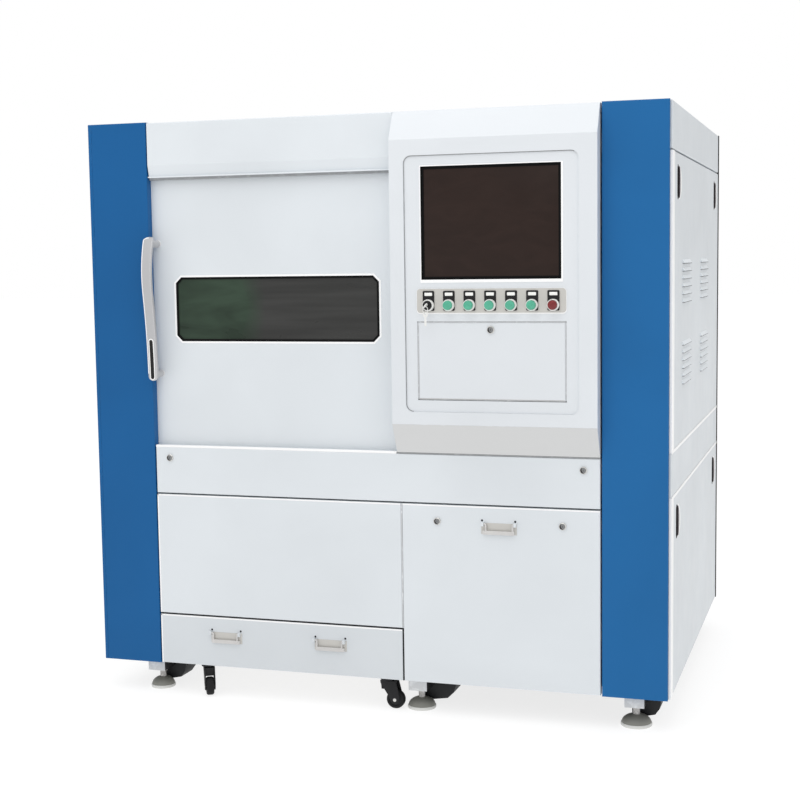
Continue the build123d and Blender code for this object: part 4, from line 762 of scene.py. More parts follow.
class CUTTER_OT_handle(CutterOperator, bpy.types.Operator):
    """Make the bowed door handle with its posts, a white rim and rod of painted highlight, and a black strip of painted
    shade over its slot
    """

    bl_idname = "cutter.handle"
    bl_label = "Door handle"

    def execute(self, context):
        low, high = box("door_handle")
        door_face = box("sliding_door")[0].y
        length = high.z - low.z
        with new_piece("door_handle_bar", "handle_paint", "door", "aluminium", ["door_handle"]) as bar:
            self.add_bar(bar, length)
            for down, stand in ((17, HANDLE_TOP_STAND), (length - 17, HANDLE_FOOT_STAND)):
                reach = door_face - (FRONT - stand)
                post = [(0, 0), (10.5, 0), (10.5, 1.2), (9.5, 2), (9.5, reach), (0, reach)]
                add_turning(bar, post, aim(((low.x + high.x) / 2, door_face, high.z - down), OUT_OF_FRONT), 28)
        end = length - 5
        # White rim round the slot and a rod along the top and left edges: painted highlight.
        with new_piece("door_handle_rim", "trim_white", "door", "aluminium") as rim:
            self.add_strip(rim, end - 109, end + 2.5, 7.6, 0.35)
            highlight_bead = [self.edge_point(0, share, length) for share in (0.5, 0.0, -0.5)]
            highlight_bead += [self.edge_point(down, -1.0, length) for down in (4, 8, 14, 24, 40)]
            highlight_bead += [self.edge_point(40 + (length - 60) * step / 20, -1.0, length) for step in range(1, 21)]
            add_rod(rim, highlight_bead, 1.5, 8)
        # Black strip over the slot: painted shade of the slot.
        with new_piece("door_handle_insert", "black_plastic", "door", "black_plastic") as insert:
            self.add_strip(insert, end - 106, end, 5, 0.75)
        return {"FINISHED"}

    def half_width(self, down, length):
        """Half of the bar's width at a distance below its top."""
        low, high = box("door_handle")
        half = (high.x - low.x) / 2 - down / length
        for distance, corner in ((down, 8), (length - down, half)):
            if distance < corner:
                half += math.sqrt(max(0.0, corner ** 2 - (corner - distance) ** 2)) - corner
        return max(half, 2)

    def edge_point(self, down, side, length):
        """Point on the front edge of the bar."""
        centre, out = handle_line(down)
        shift = side * (self.half_width(down, length) - 1.4)
        return centre + Vector((shift, 0, 0)) + out * (HANDLE_THICKNESS / 2 - 0.9)

    def add_bar(self, mesh, length):
        """Bowed bar with a square top and a round end."""
        stops = [0.0, 0.6, 1.6, 3.0, 5.0, 8.0]
        stops += [8 + (length - 21) * step / 36 for step in range(1, 37)]
        stops += [length - left for left in (10.0, 7.5, 5.2, 3.4, 2.0, 0.9, 0.2)]
        loops = []
        for down in stops:
            centre, out = handle_line(down)
            section = rounded_outline(2 * self.half_width(down, length), HANDLE_THICKNESS, size("handle_edge") / 2, 4)
            thin = min(1.0, 0.6 + min(down, length - down) / 10)
            loops.append([centre + Vector((across, 0, 0)) + out * lift * thin for across, lift in section])
        add_loft(mesh, loops)

    def add_strip(self, mesh, start, end, half, lift):
        """Strip with round ends that follows the face of the bar."""
        loops = []
        for number in range(29):
            along = (end - start) * (1 - math.cos(math.pi * number / 28)) / 2
            left = min(along, end - start - along)
            reach = half if left >= half else math.sqrt(max(0.0, half ** 2 - (half - left) ** 2))
            centre, out = handle_line(start + along)
            side = Vector((max(reach, 0.2), 0, 0))
            top = centre + out * (HANDLE_THICKNESS / 2 + lift)
            under = centre + out * (HANDLE_THICKNESS / 2 - 0.5)
            loops.append([under - side, under + side, top + side, top - side])
        add_loft(mesh, loops)


def handle_line(down):
    """Point on the handle's middle line at a distance below its top, and the direction out of the bar there."""
    low, high = box("door_handle")
    length = high.z - low.z
    bulge = FRONT - low.y - HANDLE_THICKNESS / 2
    stand = handle_stand(down, length, bulge)
    slope = handle_stand(down + 1, length, bulge) - stand
    return Vector(((low.x + high.x) / 2, FRONT - stand, high.z - down)), Vector((0, -1, -slope)).normalized()


def handle_stand(down, length, bulge):
    """Distance of the handle's middle line from the cabinet face, from the two arcs that make it."""
    rise = bulge - HANDLE_TOP_STAND
    fall = bulge - HANDLE_FOOT_STAND
    run = length - HANDLE_DROP
    turn = 2 * math.atan2(fall, run)
    upper = (HANDLE_DROP ** 2 + rise ** 2) / (2 * rise)
    lower = run / math.sin(turn) - upper
    if down - HANDLE_DROP < upper * math.sin(turn):
        return bulge - upper + math.sqrt(max(0.0, upper ** 2 - (down - HANDLE_DROP) ** 2))
    return HANDLE_FOOT_STAND + lower - math.sqrt(max(0.0, lower ** 2 - (length - down) ** 2))


class CUTTER_OT_window(CutterOperator, bpy.types.Operator):
    """Make the black seal of the door window and the white strip of painted highlight outside it"""

    bl_idname = "cutter.window"
    bl_label = "Door window"

    def execute(self, context):
        low, high = box("door_window")
        face = box("sliding_door")[0].y
        middle = (low + high) / 2
        lap = 9
        outer = cut_outline(high.x - low.x - 2 * lap, high.z - low.z - 2 * lap, 16)
        with new_piece("window_seal", "gasket_black", "door", "rubber") as seal:
            inner = inset_outline(outer, size("gasket_width"))
            add_border(seal, outer, inner, 2.4, front_place(middle.x, face + 2, middle.z))
        # White strip outside the seal: painted highlight.
        with new_piece("window_edging", "trim_white", "door", "white_paint") as edging:
            outside = inset_outline(outer, -size("window_trim"))
            add_border(edging, outside, outer, 0.9, front_place(middle.x, face + 0.3, middle.z))
        return {"FINISHED"}


class CUTTER_OT_console(CutterOperator, bpy.types.Operator):
    """Make the display with its border, white strips of painted highlight round it and round the switch strip, and the
    lines of painted shade around the recess
    """

    bl_idname = "cutter.console"
    bl_label = "Display"

    def execute(self, context):
        low, high = box("monitor")
        rim = 10
        width = high.x - low.x - 2 * rim
        height = high.z - low.z - 2 * rim
        across, level = (low.x + high.x) / 2, (low.z + high.z) / 2
        floor = low.y + 4
        face = box("switch_strip")[1].y
        border = size("screen_border")
        inside = rounded_outline(width - 2 * border, height - 2 * border, 2, 3)
        with new_piece("display_glass", "screen", "cabinet", "screen") as glass:
            add_plate(glass, inside, 1.0, front_place(across, floor - 0.2, level), 0.4)
        with new_piece("display_border", "gasket_black", "cabinet", "black_plastic") as surround:
            outer = rounded_outline(width - 0.4, height - 0.4, 1.5, 3)
            place = front_place(across, floor, level)
            add_border(surround, outer, inside, 2.2, place)
            add_border(surround, outer, rounded_outline(width - 2.4, height - 2.4, 1, 3), floor - face - 0.3, place)
        # White strips, wider at the bottom and right: painted highlight.
        with new_piece("display_edging", "trim_white", "cabinet", "console_paint") as edging:
            outside = [(x + 1, y - 2.5) for x, y in rounded_outline(width + 7, height + 10, 2, 3)]
            inside = rounded_outline(width + 0.2, height + 0.2, 1, 3)
            add_border(edging, outside, inside, 0.8, front_place(across, face, level))
            strip_low, strip_high = box("switch_strip")
            wide, tall = strip_high.x - strip_low.x, strip_high.z - strip_low.z
            outside = [(x, y - 1.5) for x, y in rounded_outline(wide + 3, tall + 4, 9, 4)]
            place = front_place(across, face, (strip_low.z + strip_high.z) / 2)
            add_border(edging, outside, rounded_outline(wide + 0.1, tall + 0.1, 8, 4), 0.8, place)
        self.make_outline(across, face, high.z + 18)
        return {"FINISHED"}

    def make_outline(self, across, face, top):
        """Thin lines around the recess, with painted shade at the left and top."""
        bottom = box("keyboard_flap")[0].z - 33
        with new_piece("recess_outline", "joint_grey console_paint", "cabinet", "console_paint") as lines:
            outer = rounded_outline(445.6, top - bottom - 0.4, 19.8)
            add_border(lines, outer, inset_outline(outer, 1.6), 1.5, front_place(across, face, (top + bottom) / 2))
            for side in lines.faces:
                middle = side.calc_center_median()
                shaded = middle.x < across - 205 or middle.z > top - 18
                side.material_index = 0 if shaded and middle.x < across + 214 else 1


class CUTTER_OT_switches(CutterOperator, bpy.types.Operator):
    """Make the legend plates, rings, buttons and key switch"""

    bl_idname = "cutter.switches"
    bl_label = "Switches"

    def execute(self, context):
        low, high = box("switch_rings")
        radius = (high.z - low.z) / 2
        level = (low.z + high.z) / 2
        first = low.x + radius
        row = (7, ((high.x - radius - first) / 6, 0, 0))
        self.make_legends(first, row)
        height = high.y - low.y
        bore = radius - 3
        start = (first, high.y, level)
        with new_copies("switch_bezels", "bezel_silver", "cabinet", "chrome", start, row,
                        replaced=["switch_rings"]) as ring:
            profile = [(bore, 0), (radius, 0), (radius, height - 2.5), (radius - 0.6, height - 1.6),
                       (bore + 1.6, height), (bore + 0.6, height), (bore, height - 0.6)]
            add_hollow_turning(ring, profile, UPRIGHT, 36)
        for node in BUTTON_NODES:
            self.make_button(node, "red" if node.startswith("red") else "green")
        self.make_key(first, low.y - 2, level)
        return {"FINISHED"}

    def make_legends(self, first, row):
        """Black legend plates with blank white inserts."""
        low, high = box("legend_plates")
        start = (first, high.y, (low.z + high.z) / 2)
        with new_copies("legend_holders", "black_plastic", "cabinet", "black_plastic", start, row,
                        replaced=["legend_plates"]) as plate:
            add_plate(plate, rounded_outline(30, high.z - low.z, 3), high.y - low.y, UPRIGHT, 0.6)
        tall = 8
        start = (first, low.y + 0.2, high.z - 4.5 - tall / 2)
        with new_copies("legend_inserts", "insert_white", "cabinet", "white_paint", start, row) as insert:
            add_plate(insert, rounded_outline(size("insert_width"), tall, 1.5), 0.7, UPRIGHT, 0.2)

    def make_button(self, node, finish_name):
        """Push button with a softly domed face."""
        low, high = box(node)
        radius = (high.x - low.x) / 2
        length = high.y - low.y
        with new_piece(f"{node}_cap", finish_name, node, finish_name, [node]) as cap:
            profile = [(0, 0), (radius, 0), (radius, length - 2.2), (radius - 0.5, length - 1.0),
                       (radius - 1.6, length - 0.35), (0.62 * radius, length - 0.1), (0, length)]
            add_turning(cap, profile, front_place((low.x + high.x) / 2, high.y, (low.z + high.z) / 2), 36)

    def make_key(self, across, face, level):
        """Key switch with its key, and a ring with a spare key that hangs from it."""
        low, high = box("key_switch")
        with new_piece("key_barrel", "black_plastic", "key_switch", "black_plastic", ["key_switch"]) as barrel:
            radius, length = 11.5, high.y - face
            profile = [(0, 0), (radius, 0), (radius, length - 1.2), (radius - 1.2, length), (4.4, length),
                       (4.2, length - 1.2), (0, length - 1.2)]
            add_turning(barrel, profile, front_place(across, high.y, level), 36)
        reach = face - low.y
        half = 1.1
        bow_radius = 0.33 * reach
        with new_piece("switch_key", "bezel_silver", "key_switch", "chrome") as key:
            turn = Matrix.Rotation(math.radians(40), 4, "Y")
            side = shifted(across, face, level) @ turn @ Matrix(((0, 0, 1), (-1, 0, 0), (0, 1, 0))).to_4x4()
            shank = [(-2, -3.2), (0.36 * reach, -3.2), (0.36 * reach, 3.2), (-2, 3.2)]
            add_plate(key, shank, 2 * half, side @ shifted(0, 0, -half))
            ring = [(3.0, -half), (bow_radius, -half), (bow_radius, half), (3.0, half)]
            add_hollow_turning(key, ring, side @ shifted(reach - bow_radius, 0, 0), 28)
        with new_piece("spare_key", "bezel_silver", "cabinet", "chrome") as hang:
            loop = size("key_ring")
            swing = min(loop, bow_radius - 1)
            top = Vector((across, low.y + bow_radius, level - 2.2))
            points = []
            for number in range(28):
                angle = 2 * math.pi * number / 28
                sway = math.sin(angle)
                points.append(top + Vector((0.5 * loop * sway, swing * sway, loop * (math.cos(angle) - 1))))
            add_rod(hang, points, 0.9, 8, True)
            bottom = top + Vector((0, 0, -2 * loop + 1.5))
            spare = Matrix.Translation(bottom) @ Matrix.Rotation(math.radians(25), 4, "Z") @ front_place(0, half, 0)
            ring = [(1.6, -half), (6.5, -half), (6.5, half), (1.6, half)]
            add_hollow_turning(hang, ring, spare @ shifted(0, -4, 0), 24)
            blade = [(-2.6, -31), (0, -33), (2.6, -31), (2.6, -9.5), (-2.6, -9.5)]
            add_plate(hang, blade, 1.6, spare @ shifted(0, 0, -0.8))


class CUTTER_OT_locks(CutterOperator, bpy.types.Operator):
    """Make the faces of the five cam locks, each with a dark crescent of painted shade"""

    bl_idname = "cutter.locks"
    bl_label = "Cam locks"

    def execute(self, context):
        for node in LOCK_NODES:
            low, high = box(node)
            radius = (high.z - low.z) / 2
            across = high.x - radius if node.endswith("right") else low.x + radius
            panel = box("keyboard_flap" if node == "flap_lock" else "band_cover")[0].y
            reach = panel - low.y
            place = front_place(across, panel, (low.z + high.z) / 2)
            with new_piece(f"{node}_face", "chrome lock_plug black_plastic", node, "chrome") as face:
                rim = [(radius - 2.2, reach - 0.4), (radius - 1.8, reach + 0.9), (radius - 0.7, reach + 0.9),
                       (radius + 0.2, reach), (radius + 0.2, 0.2), (radius - 2.2, 0.2)]
                add_hollow_turning(face, rim, place, 32)
                plug = [(0, reach + 0.5), (radius - 2.4, reach + 0.3), (radius - 2.2, reach - 0.4), (0, reach - 0.4)]
                add_turning(face, plug, place, 32, 1)
                keyhole = rounded_outline(1.1, 5, 0.5, 3)
                add_plate(face, keyhole, 0.25, place @ shifted(0, 0, reach + 0.45), 0.1, 2)
                # Dark crescent at the left of the plug: painted shade.
                self.add_shutter(face, place @ shifted(0, 0, reach), radius - 5.4, radius - 1.9)
        return {"FINISHED"}

    def add_shutter(self, mesh, place, inner, outer):
        """Dark half-moon of painted shade at the left of a lock's plug."""
        loops = []
        lift = Vector((0, 0, 0.9))
        for number in range(15):
            angle = math.radians(115 + 170 * number / 14)
            thin = math.sin(math.pi * (0.08 + 0.84 * number / 14))
            across = Vector((math.cos(angle), math.sin(angle), 0))
            near = across * (outer - (outer - inner) * thin)
            far = across * outer
            loops.append([place @ near, place @ far, place @ (far + lift), place @ (near + lift)])
        add_loft(mesh, loops, 2)


class CUTTER_OT_bails(CutterOperator, bpy.types.Operator):
    """Make the three drop handles with their backing plates and pins"""

    bl_idname = "cutter.bails"
    bl_label = "Drop handles"

    def execute(self, context):
        lug = 6.5
        for node, body in BAIL_NODES.items():
            low, high = box(node)
            left, right = low.x + lug, high.x - lug
            axis = high.z - 3
            depth = (low.y + high.y) / 2
            before, after = (1, 5) if body == "drawer" else (-4, 2)
            grip_left, grip_right = left + before, right + after
            bottom, top = low.z + 3.5, low.z + 14
            arms = (left + 4.6, right - 3)
            with new_piece(f"{node}_bail", "stud_zinc", node, "chrome", [node]) as bail:
                add_block(bail, (grip_left, low.y, bottom), (grip_right, high.y, top), 2.2, 3)
                add_block(bail, (left + 5, low.y - 0.6, bottom + 3), (grip_right - 4, low.y + 1, top - 3), 0.5, 2)
                for across in arms:
                    add_rod(bail, [(across, depth, top - 5), (across, depth, axis)], 2.6, 14)
                for ends in ((low.x, arms[0]), (arms[1], high.x)):
                    add_rod(bail, [(across, depth, axis) for across in ends], 2.4, 14)
            with new_piece(f"{node}_plate", "strip_paint", body, "strip_paint") as plate:
                add_block(plate, (grip_left - 4, FRONT - 0.9, low.z + 4),
                          (grip_right + 5, FRONT + 0.3, high.z - 1), 0.4, 2)
            start = (grip_left - 2, FRONT, high.z + 5)
            pair = (2, (grip_right - grip_left + 3, 0, 0))
            with new_copies(f"{node}_pins", "black_plastic", body, "black_plastic", start, pair) as pin:
                add_turning(pin, [(0, 1.2), (1.6, 1.0), (2.8, 0.2), (2.8, -0.4), (0, -0.4)], UPRIGHT, 16)
        return {"FINISHED"}


class CUTTER_OT_side_covers(CutterOperator, bpy.types.Operator):
    """Make the louvre mouths of painted shade, the finger cups with their painted shade and highlight, and the white
    painted highlights on the edges of the covers
    """

    bl_idname = "cutter.side_covers"
    bl_label = "Louvres and finger cups"

    def execute(self, context):
        mouth = size("louvre_mouth")
        row = (6, (0, 0, -20))
        for side, name in ((1, "right"), (-1, "left")):
            node = f"{name}_upper_cover"
            first = (0, FRONT + 306, box(node)[1].z - 273)
            inner, outer = sorted((side * (SIDE_SHEET - 0.5), side * (SIDE_SHEET + 5.6)))
            columns, groups = (2, (0, 432, 0)), (2, (0, 0, -210))
            # Grey blocks under the louvre lips: painted shade of the louvre openings.
            with new_copies(f"{node}_mouths", "vent_grey", node, "rubber", first, columns, row, groups) as shape:
                add_block(shape, (inner, -83, -mouth), (outer, 83, 0.2), 0.3)
            for cover in ("upper", "lower"):
                self.make_cups(side, f"{name}_{cover}_cover")
        top = box("rear_panels")[1].z
        columns, groups = (2, (760, 0, 0)), (2, (0, 0, REAR_SPLIT - 2 - top))
        start = (-380, 0, top - 150)
        # Grey blocks under the rear louvre lips: painted shade.
        with new_copies("rear_panel_mouths", "vent_grey", "cabinet", "rubber", start, columns, row, groups) as shape:
            add_block(shape, (-83, BACK - 0.5, -mouth), (83, BACK + 5.6, 0.2), 0.3)
        return {"FINISHED"}

    def make_cups(self, side, node):
        """Finger cups behind the slots, each with a dark half-round of painted shade and a white half-round hood of
        painted highlight at its rear, and the cover's white edges of painted highlight.
        """
        low, high = box(node)
        turned = Matrix(((0, 0, side), (1, 0, 0), (0, 1, 0))).to_4x4()
        places = [shifted(side * SIDE_SHEET, FRONT + depth, high.z - 72) @ turned for depth in (120, 1035)]
        with new_piece(f"{node}_cups", "black_plastic mouth_grey", node, "black_plastic") as cup:
            outline = rounded_outline(27.6, 87.6, 13.6)
            for place in places:
                add_plate(cup, outline, 2, place @ shifted(0, 0, -21.5))
                add_border(cup, outline, rounded_outline(25.6, 85.6, 12.6), 19.5, place @ shifted(0, 0, -19.5))
                # Dark half-round at the rear of each cup: painted shade.
                add_loft(cup, [self.half_round(place, along, 39, 3.6, 0.4) for along in (13.4, 14.4)], 1)
        # White hoods and edges: painted highlight.
        with new_piece(f"{node}_hoods", "trim_white", node, "side_paint") as hood:
            for place in places:
                self.add_hood(hood, place, 14, 60, 44, 5.9)
            self.add_edges(hood, side, low, high, node.endswith("lower_cover"))

    def add_edges(self, mesh, side, low, high, lower):
        """White strips of painted highlight at the front of a cover and at the joint beside the middle strip; the one
        on the front face also covers the shade beside the column.
        """
        ends = (low.z, high.z + 3.8) if lower else (low.z - 3.8, high.z)
        joint = (high.z - 2, high.z + 6) if lower else (low.z - 6, low.z + 2)
        blocks = (
            (-0.4, 0.7, low.y, low.y + 42, low.z, high.z, 0.3, 2),
            (-5.5, 0.7, low.y - 0.6, low.y + 0.2, *ends, 0.2, 1),
            (0.1, 0.9, low.y, high.y, *joint, 0.3, 2),
        )
        for within, proud, front, back, bottom, top, edge, steps in blocks:
            inner, outer = sorted((side * (SIDE_SHEET + within), side * (SIDE_SHEET + proud)))
            add_block(mesh, (inner, front, bottom), (outer, back, top), edge, steps)

    def half_round(self, place, along, half, proud, power=1.0):
        """Loop of a half ellipse that stands on the sheet, squarer with a lower power."""
        points = [place @ Vector((along, -half, -0.4))]
        for number in range(17):
            angle = math.radians(-90 + 180 * number / 16)
            up = math.copysign(abs(math.sin(angle)) ** power, angle)
            points.append(place @ Vector((along, half * up, proud * max(0.0, math.cos(angle)) ** power)))
        points.append(place @ Vector((along, half, -0.4)))
        return points

    def add_hood(self, mesh, place, start, end, half, proud):
        """Pressed hood that falls away to the rear."""
        loops = []
        for number in range(11):
            share = math.sin(math.radians(88 * number / 10))
            fall = math.sqrt(1 - share ** 2)
            loops.append(self.half_round(place, start + (end - start) * share, half * fall, proud * fall))
        add_loft(mesh, loops)


class CUTTER_OT_seals(CutterOperator, bpy.types.Operator):
    """Make the seals, joints, the column's fold, white strips of painted highlight and dark strips of painted shade
    between the panels
    """

    bl_idname = "cutter.seals"
    bl_label = "Panel seals"

    def execute(self, context):
        self.make_flap_seal()
        self.make_joints()
        low, high = box("left_column")
        with new_piece("left_column_return", "blue_paint", "cabinet", "blue_paint") as fold:
            add_block(fold, (low.x - 9, FRONT, low.z), (low.x + 1, FRONT + 10.5, high.z), 2, 3)
        self.make_panel_edges()
        # Black strips behind the drawer's top and right gaps: painted shade that darkens the gap lines.
        low, high = box("drawer_front")
        with new_piece("drawer_seals", "rubber", "drawer", "rubber") as seal:
            add_block(seal, (low.x, FRONT + 2, high.z), (high.x, FRONT + 18, high.z + 3.3), 0.3)
            beside = box("service_panel")[0].x - 0.7
            add_block(seal, (high.x, FRONT + 2, low.z), (beside, FRONT + 18, high.z), 0.3)
        # Black strips at the rear corners of the sides: painted shade of the recess there.
        with new_piece("dark_seals", "rubber", "cabinet", "rubber") as seal:
            for inner, outer in ((-787, -763), (763, 787)):
                add_block(seal, (inner, FRONT + 1159.5, 87), (outer, BACK, 1563), 0.6)
        return {"FINISHED"}

    def make_flap_seal(self):
        """Light seal around the edges of the keyboard flap."""
        low, high = box("keyboard_flap")
        middle = (low.x + high.x) / 2
        left, right = middle - FLAP_HALF, middle + FLAP_HALF
        face, back = low.y + 0.6, low.y + 4
        near, far = 0.1, 2.5
        with new_piece("flap_seal", "seal_grey", "flap", "rubber") as seal:
            add_block(seal, (left - far, face, low.z), (left - near, back, high.z + far), 0.3)
            add_block(seal, (right + near, face, low.z), (right + far, back, high.z + far), 0.3)
            add_block(seal, (left - far, face, high.z + near), (right + far, back, high.z + far), 0.3)
            add_block(seal, (left, face, low.z - 1.6), (right, back - 1, low.z - near), 0.3)

    def make_joints(self):
        """Apron under the console, lip under the header, white top edge of the band as painted highlight, and the grey
        joints, the one under the header also painted shade of the header.
        """
        low, high = box("console_housing")
        band_low, band_high = box("band_cover")
        header_low, header_high = box("header_panel")
        under = header_low.z
        with new_piece("console_apron", "console_paint", "cabinet", "console_paint") as apron:
            section = [(-38.2, 770.5), (-0.6, 693.4), (23.5, 693.4)]
            ends = (low.x, high.x)
            add_loft(apron, [[Vector((across, FRONT + depth, level)) for depth, level in section] for across in ends])
        with new_piece("header_lip", "white_paint", "cabinet", "white_paint") as lip:
            add_block(lip, (header_low.x, FRONT + 0.3, under - 3), (header_high.x, FRONT + 9, under + 0.5), 0.5, 2)
        # White top edge of the band: painted highlight.
        with new_piece("band_top_edge", "trim_white", "band", "white_paint") as rail:
            add_block(rail, (band_low.x, FRONT, band_high.z - 0.5), (low.x - 2, FRONT + 12, band_high.z + 6), 1.5, 3)
        # Grey joints; the strip under the header also stands in for the header's shadow as painted shade.
        with new_piece("panel_joints", "joint_grey", "cabinet", "rubber") as joints:
            add_block(joints, (low.x, FRONT + 0.8, band_high.z + 0.5), (high.x, FRONT + 20, 692.9), 0.3)
            add_block(joints, (header_low.x, FRONT + 9, under - 9), (header_high.x, FRONT + 21, under - 0.1), 0.4)

    def make_panel_edges(self):
        """White strips of painted highlight along the top and left edges of the lower panels, and the light joint
        between two of them.
        """
        bodies = {"lower_left_panel": "cabinet", "drawer_front": "drawer", "service_panel": "service_panel"}
        front, back = FRONT - 0.3, FRONT + 0.6
        # White strips on the top and left edges: painted highlight.
        for node, body in bodies.items():
            low, high = box(node)
            with new_piece(f"{node}_edge", "trim_white", body, "white_paint") as edge:
                add_block(edge, (low.x + 1, front, high.z - 4), (high.x - 1, back, high.z - 0.3), 0.25, 2)
                if node != "service_panel":
                    add_block(edge, (low.x + 0.3, front, low.z + 1), (low.x + 4, back, high.z - 1), 0.25, 2)
        low, high = box("lower_left_panel")
        beside = box("service_panel")[0].x - 0.4
        with new_piece("upright_joint", "seal_grey", "cabinet", "rubber") as joint:
            add_block(joint, (high.x + 0.4, FRONT + 1, low.z), (beside, FRONT + 18, high.z), 0.3)


class CUTTER_OT_feet(CutterOperator, bpy.types.Operator):
    """Make the levelling feet with their threads and lock nuts, and black wedges of painted shade behind them"""

    bl_idname = "cutter.feet"
    bl_label = "Levelling feet"

    def execute(self, context):
        low, high = box("levelling_feet")
        top = high.z
        radius, stud, base_top, dome_top, nut_height = 40, 9, 8, 30, 9.2
        centres = [low.x + radius, JOINTS["caster_right_swivel"].x + 86, high.x - radius]
        feet = list(zip(centres, (34, 38, radius)))
        depths = (FRONT + 62, BACK - 62)
        with new_piece("foot_pads", "foot_cast foot_rim", "cabinet", "steel", ["levelling_feet"]) as pads:
            for across, pad in feet:
                rim = [(0, 0), (pad - 1.5, 0), (pad, 1.5), (pad, 7), (pad - 1.2, 8.5), (0, 8.5)]
                dome = [(0, base_top)]
                for number in range(9):
                    angle = math.radians(80 * number / 8)
                    dome.append(((pad - 2) * math.cos(angle), base_top + (dome_top - base_top) * math.sin(angle)))
                dome.append((0, dome_top))
                for depth in depths:
                    add_turning(pads, dome, shifted(across, depth, 0), 44)
                    add_turning(pads, rim, shifted(across, depth, 0), 44, 1)
        with new_piece("foot_studs", "stud_zinc", "cabinet", "steel") as studs:
            corners = [math.radians(60 * side) for side in range(6)]
            nut = [(13 * math.cos(corner), 13 * math.sin(corner)) for corner in corners]
            core = [(0, dome_top - 2), (stud - 0.8, dome_top - 2), (stud - 0.8, top), (0, top)]
            for across in centres:
                for depth in depths:
                    add_turning(studs, core, shifted(across, depth, 0), 24)
                    add_plate(studs, nut, 9, shifted(across, depth, top - nut_height), 0.8)
        thread = size("foot_thread")
        turns = int((top - nut_height - dome_top) / thread + 1e-6)
        pair = (2, (0, depths[1] - depths[0], 0))
        rows = (max(1, turns - 1), (0, 0, thread))
        for number, across in enumerate(centres):
            start = (across, depths[0], dome_top + thread)
            with new_copies(f"foot_threads_{number + 1}", "stud_zinc", "cabinet", "steel", start, pair, rows) as ridge:
                profile = [(stud - 1.0, -0.45 * thread), (stud, 0), (stud - 1.0, 0.45 * thread)]
                add_hollow_turning(ridge, profile, Matrix.Identity(4), 20)
        self.make_brackets(centres)
        return {"FINISHED"}

    def make_brackets(self, centres):
        """End caps of the floor rails, and black wedges behind the feet that stand in for the shade under the machine.
        """
        low, high = box("frame")
        half = 25
        with new_piece("rail_end_caps", "seal_grey", "cabinet", "rubber") as caps:
            for across in centres:
                for end in (low.y - 1.2, high.y - 0.2):
                    add_block(caps, (across - half, end, low.z), (across + half, end + 1.4, low.z + 49), 0.4, 2)
        # Black wedges behind the feet: painted shade of the machine's underside.
        with new_piece("foot_brackets", "black_paint", "cabinet", "black_paint") as shade_wedges:
            for across, reach in zip(centres, (62, 88, 60)):
                outline = [(-14, 26), (0.3 * reach, 18), (0.75 * reach, 24), (0.94 * reach, 40), (reach, 58),
                           (reach, 83), (-14, 83)]
                for depth in (FRONT + 150, BACK - 80):
                    add_plate(shade_wedges, outline, 70, front_place(across, depth, 0), 0.8)


